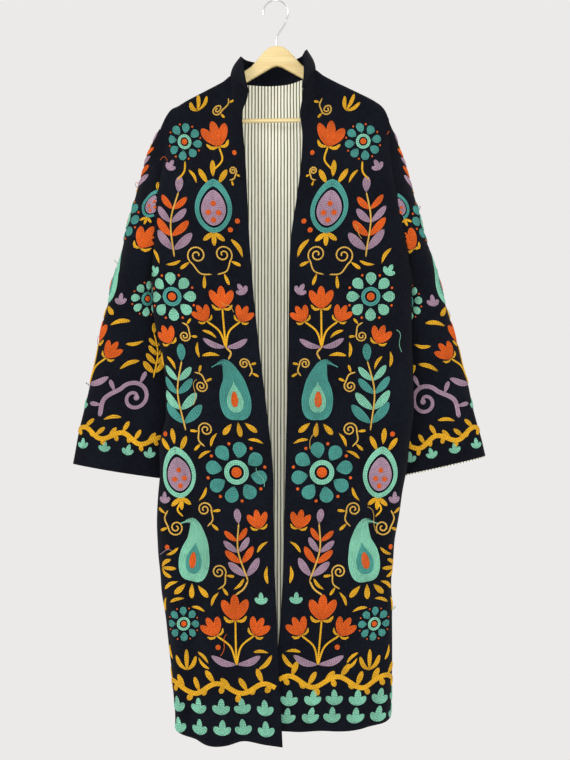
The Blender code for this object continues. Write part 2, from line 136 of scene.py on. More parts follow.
# Share of the armhole's height, from the shoulder down, and of the depth that its seam keeps.
ARMHOLE_SHARE = [(0, 1), (0.1, 0.95), (0.3, 0.82), (0.6, 0.7), (0.85, 0.5), (0.95, 0.28), (1, 0)]
SIDE_SEAM_Y = -2
WIDEST_Y = -20
SIDE_BLEND = 50
ROUNDING_START = {"front": 0.80, "back": 0.62}
BACK_END_ANGLE = 60
SETTLED_BELOW = 200
FOLDLESS_SHARE = 1.02
FOLD_FADE = 0.15
LAP = {"left": -7, "right": 4}
LAP_START = -1000
LAP_LENGTH = 180
LAP_SHARE = 0.35
FOLDS_FOOT = -1400
# Soft folds: x at the top and at the hem, heights where they start and where they are whole, half
# the width, and how far they come out.
FOLDS = {
    ("front", "left"): [
        (-168, -150, -640, -900, 15, -7), (-120, -112, -650, -1250, 26, 5),
        (-66, -60, -760, -1300, 20, -5), (-28, -22, -860, -1300, 18, 3),
    ],
    ("front", "right"): [
        (196, 176, -600, -980, 16, -6), (146, 130, -650, -1250, 25, 5),
        (92, 84, -760, -1300, 20, -5), (50, 42, -860, -1300, 18, 3),
    ],
    ("back", "left"): [
        (-158, -150, -560, -1150, 20, -7), (-112, -108, -480, -1200, 22, 8),
        (-66, -64, -420, -1250, 20, -8), (-20, -20, -400, -1250, 24, 8),
    ],
    ("back", "right"): [
        (176, 160, -560, -1150, 20, -7), (128, 116, -480, -1200, 22, 8),
        (76, 70, -420, -1250, 20, -8), (-20, -20, -400, -1250, 24, 8),
    ],
}
# Height and x of the sleeve's outer line, and the heights of the cuff's outer and inner end.
SLEEVE_LINE = {
    "left": [
        (-233, -213), (-255, -225), (-285, -238), (-320, -247), (-355, -258), (-403, -271),
        (-450, -282), (-507, -297), (-553, -309), (-638, -329), (-731, -349), (-788, -363), (-856, -377),
    ],
    "right": [
        (-222, 209), (-252, 221), (-292, 236), (-339, 249), (-383, 262), (-433, 276), (-485, 292),
        (-553, 311), (-596, 325), (-675, 347), (-743, 364), (-799, 378), (-841, 389),
    ],
}
CUFF = {"left": (-856, -884), "right": (-841, -877)}
# Share down the sleeve from the underarm, half its depth, y of its outer and inner line, and how
# far the inner line lies inside the coat's outline.
SLEEVE_FORM = [
    (0, 33, 0, -2, -0.6), (0.08, 33, 1, 2, -1.5), (0.2, 32, 2, 8, 3), (0.4, 30, 4, 10, 5),
    (1, 24, 6, 10, 6),
]
SLEEVE_FILL_START = 0.15
# Station round the neck, x, y and height of the collar's upper edge.
COLLAR_TOP = [
    (0, -59, -43, -131), (1, -62.5, -36, -121), (2, -65, -25, -110.5), (3, -64, -9, -105),
    (5, -50, 15, -107), (7, -2, 27, -111), (9, 42, 17, -101), (11, 57, -7, -93),
    (12, 57, -24, -96), (13, 54, -36, -103), (14, 50.5, -43, -111),
]
COLLAR_BULGE = 4.5


def runs(ends, counts):
    """Shares in even runs between some ends, with so many steps in each."""
    parts = [np.linspace(a, b, n + 1)[1:] for a, b, n in zip(ends, ends[1:], counts)]
    return np.concatenate([ends[:1], *parts])


# How finely the shells follow the cut.
RIDGE_STEPS = np.linspace(0, 90, 6)
ARMHOLE_STEPS = np.linspace(0, 1, 41)[1:]
SKIRT_STEPS = np.linspace(0, 1, 116)[1:]
ROWS = (
    [("ridge", angle) for angle in RIDGE_STEPS]
    + [("armhole", share) for share in ARMHOLE_STEPS]
    + [("skirt", share) for share in SKIRT_STEPS]
)
FRONT_SHARES = runs((0, NECK_SHARE["front"], ROUNDING_START["front"], 1), (8, 33, 15))
BACK_SHARES = runs((0, NECK_SHARE["back"], ROUNDING_START["back"], 1), (18, 11, 19))
SLEEVE_COLUMNS = 56
SLEEVE_SKIRT = np.linspace(0, 1, 61)[1:]
COLLAR_STATIONS = np.linspace(0, 14, 85)
COLLAR_ROWS = np.linspace(0, 1, 17)
WELD_GAP = 0.05


def smooth(t):
    """Goes from 0 to 1 with no corner at either end."""
    t = np.clip(t, 0.0, 1.0)
    return t * t * (3 - 2 * t)


def between(first, last, share):
    return first + (last - first) * share


def unit(vectors):
    """The same vectors with a length of 1."""
    return vectors / np.maximum(np.linalg.norm(vectors, axis=-1, keepdims=True), TINY)


def length_along(line):
    """The length of a line up to each of its points."""
    return np.concatenate([[0], np.cumsum(np.linalg.norm(np.diff(line, axis=0), axis=1))])


def squares(rows, columns):
    """The four corners of each square of a grid, by the numbers of its points."""
    index = np.arange(rows * columns).reshape(rows, columns)
    return np.stack([index[:-1, :-1], index[1:, :-1], index[1:, 1:], index[:-1, 1:]], axis=-1)


def along(table, at, column=1):
    """Reads a column of a table as a smooth curve through its rows, keyed by the first column."""
    rows = np.array(sorted(table), float)
    keys, values = rows[:, 0], rows[:, column]
    slopes = np.gradient(values, keys)
    at = np.clip(at, keys[0], keys[-1])
    i = np.clip(np.searchsorted(keys, at) - 1, 0, len(keys) - 2)
    step = keys[i + 1] - keys[i]
    t = (at - keys[i]) / step
    start = (1 + 2 * t) * (1 - t) ** 2 * values[i] + t * (1 - t) ** 2 * step * slopes[i]
    end = t * t * (3 - 2 * t) * values[i + 1] + t * t * (t - 1) * step * slopes[i + 1]
    return start + end


def hung(reach, height):
    """Turns a point of the hanger's own plane by the tilt, into world x and height."""
    return reach * cos(TILT) - height * sin(TILT), reach * sin(TILT) + height * cos(TILT)


def shoulder(side, reach):
    """World x and height of the shoulder line, which lies on the hanger's arm."""
    arm = [(r, h + CLOTH_ON_BOARD) for r, h in BOARD_ARM]
    lift = NECK_LIFT * (1 - smooth((reach - NECK_REACH[side]) / NECK_LIFT_LENGTH))
    return hung(SIGN[side] * reach, along(arm + SHOULDER_END[side], reach) + lift)


def top_line(face, side, shares):
    """x, height and standing-out of a panel's upper edge: the neckline, then the shoulder."""
    neck_share = NECK_SHARE[face]
    x_neck, z_neck = shoulder(side, NECK_REACH[side])
    table = NECK[face, side] + [(neck_share, x_neck, z_neck, 0)]
    tip = SHOULDER_END[side][-1][0]
    part = np.clip((shares - neck_share) / (1 - neck_share), 0, 1)
    x, z = shoulder(side, between(NECK_REACH[side], tip, part))
    neck = shares < neck_share
    return [np.where(neck, along(table, shares, i + 1), on) for i, on in enumerate((x, z, 0))]


def fold(face, side, x, height):
    """How far the soft folds bring a panel out at these places."""
    out = 0
    for x_top, x_hem, start, whole, half_width, depth in FOLDS[face, side]:
        grown = smooth((start - height) / (start - whole))
        middle = between(x_top, x_hem, smooth((start - height) / (start - FOLDS_FOOT)))
        out = out + depth * grown * np.exp(-(((x - middle) / half_width) ** 2))
    return out


def panel_row(face, side, shares, row):
    """A row of points of the front or of half the back: share runs from the middle to the side."""
    way = {"front": -1, "back": 1}[face]
    x_top, z_top, stand = top_line(face, side, shares)
    kind, value = row
    angle = radians(value) if kind == "ridge" else pi / 2
    level = UNDERARM[side]
    if face == "back":
        level = between(UNDERARM["left"], UNDERARM["right"], 0.5 + SIGN[side] * shares / 2)
    z = z_top - RIDGE * (1 - cos(angle))
    if kind == "armhole":
        z = between(z, level, value)
    if kind == "skirt":
        z = between(level, along(HEM[face, side], shares), value)
    down = z_top - z

    edge = along(FRONT_EDGE[side], z)
    inner = edge if face == "front" else np.full_like(z, BACK_MIDDLE_X)
    outer = along(SIDE[side], z)
    start = ROUNDING_START[face]

    base = np.sqrt(stand**2 + (RIDGE * sin(angle)) ** 2)
    flat = way * between(base, along(DEPTH[face], z), smooth(down / DEPTH_GROWTH))
    tip_z = shoulder(side, SHOULDER_END[side][-1][0])[1]
    share_of_depth = along(ARMHOLE_SHARE, (tip_z - z) / (tip_z - UNDERARM[side]))
    edge_y = flat * share_of_depth + SIDE_SEAM_Y * (1 - share_of_depth)
    below = smooth((UNDERARM[side] + SIDE_BLEND - z) / (2 * SIDE_BLEND))

    # The front turns in past its widest line, so its seam lies a little inside the outline.
    widest_y = between(edge_y, WIDEST_Y, below)
    front_flat = flat if face == "front" else -along(DEPTH["front"], z)
    reach = front_flat - widest_y
    reach = np.where(np.abs(reach) < 1, -1, reach)
    turned = np.arccos(np.clip((edge_y - widest_y) / reach, -0.9, 0))
    turn = np.where(below > 0, turned, pi / 2)
    front_start = between(edge, outer, ROUNDING_START["front"])
    seam_x = between(front_start, outer, np.sin(turn))

    x_flat = between(inner, outer, shares)
    part = np.clip((shares - start) / (1 - start), 0, 1)
    if face == "front":
        x_round = between(front_start, outer, np.sin(part * turn))
        y_round = between(widest_y, flat, np.cos(part * turn))
    else:
        end = np.radians(between(90, BACK_END_ANGLE, below))
        x_round = between(between(inner, outer, start), seam_x, np.sin(part * end) / np.sin(end))
        y_round = between(edge_y, flat, (np.cos(part * end) - np.cos(end)) / (1 - np.cos(end)))
    round_part = shares > start
    x = np.where(round_part, x_round, x_flat)
    y = np.where(round_part, y_round, flat)

    # The columns start on the top line and settle into even shares further down.
    plain_top = along(FRONT_EDGE[side], z_top) if face == "front" else BACK_MIDDLE_X
    side_top = along(SIDE[side], z_top)
    top_round = between(between(plain_top, side_top, start), side_top, np.sin(part * pi / 2))
    top_x = np.where(round_part, top_round, between(plain_top, side_top, shares))
    x = x + (x_top - top_x) * (1 - smooth(down / SETTLED_BELOW))

    y = y + way * fold(face, side, x, z) * smooth((FOLDLESS_SHARE - shares) / FOLD_FADE)
    if face == "front":
        y = y + LAP[side] * smooth((LAP_START - z) / LAP_LENGTH) * (1 - smooth(shares / LAP_SHARE))
    seam = (shares == 1) | ((kind == "ridge") & (value == 0) & (shares >= NECK_SHARE[face]))
    y = y + np.where(seam, way * SIDE_SEAM, 0)
    return np.stack([x, y, z], axis=-1)


def panel_grid(face, side, shares):
    return np.array([panel_row(face, side, shares, row) for row in ROWS])


def sleeve_row(outer, inner, depth, opening):
    """An oval from the front seam round the outer fold to the back seam."""
    depth = max(depth, opening)
    end = pi - np.arcsin(opening / depth)
    places = np.linspace(-1, 1, SLEEVE_COLUMNS + 1)
    angles = np.abs(places) * end
    across = ((1 - np.cos(angles)) / (1 - np.cos(end)))[:, None]
    points = between(outer, inner, across)
    points[:, 1] += np.copysign(depth * np.sin(angles), places)
    return points


def sleeve_grid(side):
    """Rows from the shoulder down the armhole, which leave it open, then closed ones to the cuff."""
    one = np.array([1.0])
    rows = []
    for share in [0, 0.01, *ARMHOLE_STEPS]:
        front = panel_row("front", side, one, ("armhole", share))[0]
        back = panel_row("back", side, one, ("armhole", share))[0]
        inner = (front + back) / 2
        inner[0] -= SIGN[side] * ARMHOLE_TUCK
        opening = (back[1] - front[1]) / 2 if share < 1 else 0
        height = inner[2] + RIDGE * (1 - share)
        outer = np.array([along(SLEEVE_LINE[side], height), 0, height])
        if share == 0:
            outer[0] = inner[0]
        depth = between(opening, SLEEVE_FORM[0][1], smooth(share - SLEEVE_FILL_START))
        rows.append(sleeve_row(outer, inner, depth, opening))
    cuff_out, cuff_in = CUFF[side]
    for t in SLEEVE_SKIRT:
        depth, y_out, y_in, tuck = [along(SLEEVE_FORM, t, column) for column in (1, 2, 3, 4)]
        z_out = between(UNDERARM[side], cuff_out, t)
        z_in = between(UNDERARM[side], cuff_in, t)
        outer = np.array([along(SLEEVE_LINE[side], z_out), y_out, z_out])
        inner = np.array([along(SIDE[side], z_in) - SIGN[side] * tuck, y_in, z_in])
        rows.append(sleeve_row(outer, inner, depth, 0))
    return np.array(rows)


def collar_grid():
    """Rows from the collar's upper edge down to the neckline."""
    ridge = ROWS[0]
    feet = []
    for side in ("left", "right"):
        front = panel_row("front", side, np.array([0, 0.05, 0.10]), ridge)
        x, z = shoulder(side, NECK_REACH[side])
        neck = np.array([[x, 0, z]])
        back = panel_row("back", side, np.array([0.33, 0.26, 0.13, 0]), ridge)
        feet.append(np.concatenate([front, neck, back]))
    middle = (feet[0][-1:] + feet[1][-1:]) / 2
    base = np.concatenate([feet[0][:-1], middle, feet[1][-2::-1]])
    base_table = [(i, *point) for i, point in enumerate(base)]
    foot, top = [
        np.stack([along(table, COLLAR_STATIONS, column) for column in (1, 2, 3)], axis=-1)
        for table in (base_table, COLLAR_TOP)
    ]
    foot[:, 2] += COLLAR_TUCK
    run = np.gradient(foot, axis=0)
    outward = unit(np.stack([-run[:, 1], run[:, 0], np.zeros(len(run))], axis=-1))
    bulge = outward * COLLAR_BULGE
    rows = [between(foot, top, rise) + bulge * sin(pi * rise) for rise in COLLAR_ROWS]
    return np.array(rows)[::-1, ::-1]


def normals(points):
    """Unit vectors out of a grid whose columns run to the right as seen from outside."""
    return unit(np.cross(np.gradient(points, axis=0), np.gradient(points, axis=1)))


# Creases, listed one by one: ends as x and height in the view from the front, half the width, and how
# far each comes out of the cloth. The puckers are soft waves that the stitching leaves: the
# length of the wave each way, its height and its shift.
CREASES = {
    "front_left": [
        (-186, -760, -150, -905, 9, -4.5), (-205, -560, -140, -700, 14, -3),
        (-100, -205, -185, -330, 16, -3), (-75, -260, -120, -480, 18, 2.5),
        (-60, -950, -110, -1130, 16, 2.5), (-180, -1050, -150, -1250, 12, 2.5),
        (-200, -470, -120, -560, 13, 2.5), (-40, -600, -75, -800, 14, -2.5),
        (-150, -1290, -165, -1352, 10, -3), (-70, -1270, -78, -1358, 12, 3),
        (-22, -1240, -30, -1360, 9, -3),
    ],
    "front_right": [
        (100, -200, 190, -335, 16, -3), (85, -260, 120, -480, 18, 2.5), (236, -560, 150, -640, 14, -3),
        (232, -700, 205, -930, 12, -3.5), (60, -560, 90, -790, 15, 2.5),
        (200, -950, 180, -1180, 14, 2.5), (228, -455, 140, -545, 13, 2.5),
        (50, -900, 40, -1120, 13, -2.5), (160, -1240, 168, -1328, 11, 3),
        (100, -1250, 96, -1334, 10, -3), (30, -1230, 36, -1334, 11, 2.5),
    ],
    "back": [
        (-100, -200, -180, -340, 16, -3), (110, -200, 190, -340, 16, -3),
        (-60, -230, -90, -420, 20, 2.5), (70, -230, 100, -420, 20, 2.5),
        (-205, -520, -120, -640, 14, -3), (225, -520, 140, -640, 14, -3), (-30, -700, -45, -980, 16, 3),
        (90, -760, 80, -1010, 16, -3), (-120, -1200, -128, -1330, 12, 3), (40, -1210, 48, -1330, 12, 3),
        (150, -1190, 156, -1310, 11, -3), (-60, -1180, -52, -1330, 11, -3),
    ],
    "sleeve_left": [
        (-232, -300, -222, -420, 9, -3), (-262, -430, -235, -520, 12, -3),
        (-300, -560, -240, -620, 11, -3), (-320, -650, -235, -680, 12, 3),
        (-290, -700, -330, -850, 14, 3), (-240, -720, -262, -860, 12, -3),
        (-350, -780, -300, -740, 10, -2.5),
    ],
    "sleeve_right": [
        (228, -290, 226, -410, 9, -3), (276, -440, 256, -520, 12, -3), (312, -570, 262, -610, 11, -3),
        (335, -640, 265, -680, 12, 3), (300, -700, 335, -840, 14, 3), (262, -720, 272, -860, 12, -3),
        (365, -770, 318, -740, 10, -2.5),
    ],
}
PUCKERS = [
    (97, 231, 0.35, 0.4), (-161, 147, 0.4, 1.9), (243, -88, 0.4, 4.1), (73, -65, 0.15, 2.7),
    (-53, 71, 0.12, 5.3),
]
CREASE_BEND = 0.06
CREASE_REACH = 0.42
SEAM_QUIET = 22


def creased(points, name, quiet):
    """Moves a grid's points out by its creases and puckers, less so near the seams."""
    x, z = points[..., 0], points[..., 2]
    out = np.zeros_like(x)
    for x0, z0, x1, z1, half_width, depth in CREASES[name]:
        way = np.array([x1 - x0, z1 - z0], float)
        length = np.linalg.norm(way)
        way /= length
        run = (x - x0) * way[0] + (z - z0) * way[1]
        aside = (x - x0) * way[1] - (z - z0) * way[0]
        bend = CREASE_BEND * length * np.sin(pi * np.clip(run / length, 0, 1))
        fade = np.exp(-((run / length - 0.5) / CREASE_REACH) ** 4)
        out += depth * fade * np.exp(-(((aside - bend) / half_width) ** 2))
    for wave_x, wave_z, height, shift in PUCKERS:
        out += height * np.sin(2 * pi * (x / wave_x + z / wave_z) + shift)
    return points + normals(points) * (out * quiet)[..., None]


def arcs(points, axis):
    """Length along the rows (axis 1) or the columns (axis 0) of a grid, from its first point."""
    steps = np.linalg.norm(np.diff(points, axis=axis), axis=2)
    pad = [(0, 0), (0, 0)]
    pad[axis] = (1, 0)
    return np.pad(np.cumsum(steps, axis=axis), pad)


class Cloth:
    """A cloth surface with flat coordinates, on which yarn is laid."""

    def __init__(self, points, flat):
        self.points = points.reshape(-1, 3)
        self.normals = normals(points).reshape(-1, 3)
        quads = squares(*flat.shape[:2]).reshape(-1, 4)
        self.triangles = np.concatenate([quads[:, [0, 1, 2]], quads[:, [0, 2, 3]]])
        self.plane = np.pad(flat.reshape(-1, 2), [(0, 0), (0, 1)])
        self.tree = BVHTree.FromPolygons(self.plane.tolist(), self.triangles.tolist())

    def lay(self, places):
        """Points and normals on the cloth at flat places, with nan where the cloth isn't."""
        laid = np.full((len(places), 3), np.nan)
        ups = np.full((len(places), 3), np.nan)
        for i, place in enumerate(places):
            hit = self.tree.ray_cast((*place, 1), (0, 0, -1))
            if hit[0] is None:
                continue
            corners = self.triangles[hit[2]]
            first, second, third = self.plane[corners, :2]
            edges = np.stack([second - first, third - first], axis=-1)
            u, v = np.linalg.solve(edges, place - first)
            weights = np.array([1 - u - v, u, v])
            laid[i] = weights @ self.points[corners]
            ups[i] = unit(weights @ self.normals[corners])
        return laid, ups


def link(name, data):
    """Adds an object with this data to the scene."""
    made = bpy.data.objects.new(name, data)
    bpy.context.scene.collection.objects.link(made)
    return made


def piece(name, points, faces, layer, flat, materials):
    """A smooth mesh with a layer of flat coordinates, which rides on the part."""
    mesh = bpy.data.meshes.new(name)
    mesh.from_pydata((points * MM).tolist(), [], faces.tolist())
    uv = flat[faces.ravel()].astype(np.float32)
    mesh.uv_layers.new(name=layer).data.foreach_set("uv", uv.ravel())
    for material in materials:
        mesh.materials.append(material)
    mesh.shade_smooth()
    made = link(name, mesh)
    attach(made, "root")
    return made


def shell(name, points, flat, wall, material, weld=False, keep=None):
    """A thin cloth piece through a grid of points, thickened on its inner side."""
    quads = squares(*points.shape[:2])
    if keep is not None:
        quads = quads[keep]
    quads = quads.reshape(-1, 4)
    flat = flat.reshape(-1, 2) * MM
    made = piece(name, points.reshape(-1, 3), quads, "flat", flat, [material])
    if weld:
        join = made.modifiers.new("weld", "WELD")
        join.merge_threshold = WELD_GAP * MM
    thick = made.modifiers.new("wall", "SOLIDIFY")
    thick.thickness = wall * MM
    thick.offset = -1
    thick.use_quality_normals = True
    return made


# Materials.
def tone(red, green, blue):
    """A colour as seen on a screen, 0 to 255, as the linear values that shaders take."""
    parts = [value / 255 for value in (red, green, blue)]
    return (*[p / 12.92 if p <= 0.04045 else ((p + 0.055) / 1.055) ** 2.4 for p in parts], 1)


class Look:
    """A material of nodes, with short ways to add and join them."""

    def __init__(self, name, tint, roughness, metallic=0, sheen=0, gloss=0.5):
        self.material = bpy.data.materials.new(name)
        self.material.use_nodes = True
        self.tree = self.material.node_tree
        self.shader = self.tree.nodes["Principled BSDF"]
        self.finish({"Base Color": tint, "Roughness": roughness, "Metallic": metallic})
        self.finish({"Sheen Weight": sheen, "Sheen Roughness": 0.5, "Specular IOR Level": gloss})

    def set(self, node, values):
        for key, value in values.items():
            if isinstance(value, bpy.types.NodeSocket):
                self.tree.links.new(value, node.inputs[key])
            else:
                node.inputs[key].default_value = value

    def finish(self, values):
        """Sets or joins inputs of the surface's own shader."""
        self.set(self.shader, values)

    def add(self, kind, values, out=0, **settings):
        """Adds a node and gives back one of its outputs."""
        node = self.tree.nodes.new("ShaderNode" + kind)
        for key, value in settings.items():
            setattr(node, key, value)
        self.set(node, values)
        return node.outputs[out]

    def sums(self, operation, *values):
        """Works out a value from others."""
        return self.add("Math", dict(enumerate(values)), operation=operation)

    def plus(self, first, second):
        return self.sums("ADD", first, second)

    def times(self, first, second):
        return self.sums("MULTIPLY", first, second)

    def split(self, vector, count=2):
        """The first parts of a vector, each as a value."""
        return [self.add("SeparateXYZ", {0: vector}, out=i) for i in range(count)]

    def flat(self):
        """The cloth's own flat coordinates in metres."""
        return self.split(self.add("UVMap", {}, uv_map="flat"))

    def place(self):
        """The piece's own coordinates in metres."""
        return self.add("TexCoord", {}, out=3)

    def noise(self, across, down, scale_across, scale_down, detail=2):
        """Noise with its own scale each way, as a value from 0 to 1."""
        x = self.times(across, scale_across)
        y = self.times(down, scale_down)
        place = self.add("CombineXYZ", {0: x, 1: y})
        return self.add("TexNoise", {"Vector": place, "Scale": 1.0, "Detail": detail})

    def span(self, value, low, high, to_low=0.0, to_high=1.0):
        """Maps a value from one span to another and holds it inside."""
        return self.add("MapRange", {0: value, 1: low, 2: high, 3: to_low, 4: to_high})

    def mix(self, share, first, second):
        return self.add("Mix", {0: share, 6: first, 7: second}, out=2, data_type="RGBA")

    def bump(self, height, distance, strength=1.0):
        made = self.add("Bump", {"Height": height, "Distance": distance, "Strength": strength})
        self.finish({"Normal": made})


WEAVE = 1.3 * MM
STRIPE_PITCH = 6.1 * MM
STRIPE_WIDTH = 2.2 * MM


def woven(look, across, down, pitch):
    """The height of a plain weave: threads over and under each other."""
    u = look.sums("SINE", look.times(across, 2 * pi / pitch))
    v = look.sums("SINE", look.times(down, 2 * pi / pitch))
    return look.times(u, v)


def cloth_look():
    """Near-black wool with slubs both ways and a little wear."""
    look = Look("dark cloth", tone(21, 24, 33), 0.92, sheen=0.02, gloss=0.1)
    across, down = look.flat()
    slubs = look.noise(across, down, 60, 900, 3)
    threads = look.noise(across, down, 900, 70, 3)
    both = look.plus(slubs, threads)
    wear = look.noise(across, down, 14, 9, 4)
    light = look.span(look.plus(both, look.times(wear, 0.6)), 1.05, 1.75)
    look.finish({"Base Color": look.mix(light, tone(3, 4, 9), tone(20, 24, 36))})
    height = look.plus(look.times(woven(look, across, down, WEAVE), 0.35), both)
    look.bump(height, 0.0006, 0.8)
    return look.material


def lining_look():
    """Pale cotton with narrow dark stripes that run down the piece."""
    look = Look("striped lining", tone(236, 233, 214), 0.85, sheen=0.05, gloss=0.2)
    across, down = look.flat()
    wander = look.noise(across, down, 300, 25)
    shifted = look.plus(across, look.times(wander, 0.0006))
    turn = look.sums("FRACT", look.times(shifted, 1 / STRIPE_PITCH))
    from_middle = look.sums("ABSOLUTE", look.sums("SUBTRACT", turn, 0.5))
    half = STRIPE_WIDTH / STRIPE_PITCH / 2
    line = look.span(from_middle, half - 0.03, half + 0.03)
    grain = look.noise(across, down, 1500, 1500)
    dark = look.mix(grain, tone(62, 66, 50), tone(112, 116, 94))
    pale = look.mix(grain, tone(240, 237, 214), tone(253, 252, 238))
    look.finish({"Base Color": look.mix(line, dark, pale)})
    look.bump(woven(look, across, down, WEAVE), 0.0002, 0.6)
    return look.material


def wood_look():
    """Pale wood with its grain along the hanger."""
    look = Look("pale wood", tone(222, 200, 142), 0.42, gloss=0.4)
    x, y, z = look.split(look.place(), 3)
    depth = look.plus(z, look.times(y, 0.4))
    grain = look.noise(x, depth, 9, 420, 4)
    broad = look.noise(x, depth, 5, 60, 2)
    share = look.span(look.plus(grain, look.times(broad, 0.8)), 0.6, 1.2)
    look.finish({"Base Color": look.mix(share, tone(208, 180, 118), tone(232, 214, 160))})
    look.bump(grain, 0.0002, 0.4)
    return look.material


def steel_look():
    """Bright wire with a slightly uneven polish."""
    look = Look("bright steel", tone(200, 200, 198), 0.22, metallic=1)
    brushed = look.add("TexNoise", {"Vector": look.place(), "Scale": 900.0, "Detail": 2.0})
    look.finish({"Roughness": look.span(brushed, 0.3, 0.7, 0.16, 0.3)})
    return look.material


# The coat's pieces. A lining ends this many rows and columns short of its cloth, and a sleeve's
# has this many rows above the cuff.
LINING_DROP = 2
INSIDE = slice(LINING_DROP, -LINING_DROP)
LINING_ROWS = 37
# How much of a row's height the lining shows below the viewer's right cuff.
CUFF_SHOWS = 0.35


def edge_quiet(points, left=True, right=True):
    """1 inside a panel and 0 at its seams, where creases die away."""
    run = arcs(points, 1)
    quiet = smooth((arcs(points, 0) - RIDGE) / SEAM_QUIET)
    if left:
        quiet = quiet * smooth(run / SEAM_QUIET)
    if right:
        quiet = quiet * smooth((run[:, -1:] - run) / SEAM_QUIET)
    return quiet


def flat_of(points, column, height):
    """Flat coordinates: arc length each way from a column, where it is x, and the height."""
    run = arcs(points, 1)
    across = points[:, column, 0][:, None] + run - run[:, column][:, None]
    return np.stack([across, height], axis=-1)


def height_of(points):
    """The height, kept on as arc length over the shoulder's ridge."""
    last = len(RIDGE_STEPS) - 1
    down = arcs(points, 0)
    over = points[last, :, 2] + down[last] - down
    return np.where(np.arange(len(points))[:, None] < last, over, points[..., 2])


def add_piece(node, points, flat, wall, material, weld=False, keep=None):
    """Adds the cloth piece that stands for a node, and hides the node's own solid."""
    made = shell(node + "_cloth", points, flat, wall, material, weld, keep)
    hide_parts(node)


def add_panel(node, plain, flat, quiet, weld=False):
    """Adds a creased piece of the dark cloth, and gives back the points of its lining."""
    points = creased(plain, node, quiet)
    panels[node] = Cloth(points, flat)
    add_piece(node, points, flat, CLOTH, cloth, weld)
    return points - normals(points) * LAYER


cloth = cloth_look()
lining = lining_look()
wood = wood_look()
steel = steel_look()
panels = {}


def add_fronts():
    first = len(RIDGE_STEPS) - 1
    for side in SIGN:
        plain = panel_grid("front", side, FRONT_SHARES)
        if side == "left":
            plain = plain[:, ::-1]
        flat = flat_of(plain, plain.shape[1] // 2, height_of(plain))
        quiet = edge_quiet(plain, left=side == "left", right=side == "right")
        inner = add_panel(f"front_{side}", plain, flat, quiet)
        kept = slice(first, -LINING_DROP), INSIDE
        add_piece(f"lining_front_{side}", inner[kept], flat[kept], LINING, lining)


def neck_only(points, shares, limit, first):
    """Which faces of a lining are kept: above its first row, only those under the neckline."""
    keep = np.ones((points.shape[0] - 1, points.shape[1] - 1), bool)
    keep[:first] = (shares[:-1] < limit) & (shares[1:] < limit)
    return keep


def add_back():
    left = panel_grid("back", "left", BACK_SHARES)
    right = panel_grid("back", "right", BACK_SHARES)
    middle = (left[:, :1] + right[:, :1]) / 2
    plain = np.concatenate([right[:, :0:-1], middle, left[:, 1:]], axis=1)
    flat = flat_of(plain * (-1, 1, 1), plain.shape[1] // 2, height_of(plain))
    inner = add_panel("back", plain, flat, edge_quiet(plain))
    kept = slice(1, -LINING_DROP), INSIDE
    shares = np.concatenate([BACK_SHARES[:0:-1], BACK_SHARES])[INSIDE]
    keep = neck_only(inner[kept], shares, NECK_SHARE["back"], len(RIDGE_STEPS) - 2)
    add_piece("lining_back", inner[kept], flat[kept], LINING, lining, keep=keep)


def longer(rows, share):
    """Carries a grid on past its last row by a share of a row."""
    return np.concatenate([rows, rows[-1:] + (rows[-1:] - rows[-2:-1]) * share])


def add_sleeves():
    for side in SIGN:
        plain = sleeve_grid(side)
        if side == "left":
            plain = plain[:, ::-1]
        middle = plain.shape[1] // 2
        down = arcs(plain, 0)[:, middle]
        height = np.repeat((plain[0, middle, 2] - down)[:, None], plain.shape[1], axis=1)
        run = arcs(plain, 1)
        flat = np.stack([run - run[:, middle][:, None], height], axis=-1)
        inner = add_panel(f"sleeve_{side}", plain, flat, edge_quiet(plain), weld=True)[-LINING_ROWS:]
        inner[:, -1] = inner[:, 0] = (inner[:, 0] + inner[:, -1]) / 2
        lower = flat[-LINING_ROWS:]
        if side == "right":
            inner, lower = longer(inner, CUFF_SHOWS), longer(lower, CUFF_SHOWS)
        add_piece(f"lining_sleeve_{side}", inner, lower, LINING, lining, weld=True)


def add_collar():
    points = collar_grid()
    flat = np.stack([arcs(points, 1), -arcs(points, 0)], axis=-1)
    add_piece("collar", points, flat, COLLAR, cloth)


def add_hanger():
    for node, material in (("hanger_board", wood), ("hanger_bar", wood), ("hanger_hook", steel)):
        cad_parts[node].data.materials.clear()
        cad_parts[node].data.materials.append(material)


# Embroidery: rows of raised wool yarn. Its shapes are drawn in places of a panel, which are the
# distance from the panel's own line, such as its front edge, and the height, in millimetres.
STITCH = 4.2
PITCH = 2.9
OVERLAP = 1.03
YARN_HEIGHT = 2.1
UPPER_LAYER = 1.5
CORD_WIDTH = 3.8
STEM_WIDTH = 3.2
CORD_HEIGHT = 2.3
SINK = 0.35
# Rows narrower than this half width are less high, down to a share of the whole height.
FULL_HEIGHT_HALF = 1.2
LEAST_HEIGHT = 0.2
SPINE_HALF = 1.1
SECTION = np.radians([0, 45, 90, 135, 180])
CHAIN_LINK = 4.4 * MM

YARNS = {
    "teal": tone(72, 156, 146),
    "mint": tone(136, 208, 178),
    "orange": tone(228, 96, 0),
    "mauve": tone(172, 142, 162),
    "mustard": tone(236, 176, 20),
    "straw": tone(220, 174, 74),
}
YARN_NAMES = list(YARNS)


def shade(tint, factor, lift=0.0):
    """A tint made darker or lighter."""
    return (*[min(part * factor + lift, 1) for part in tint[:3]], 1)


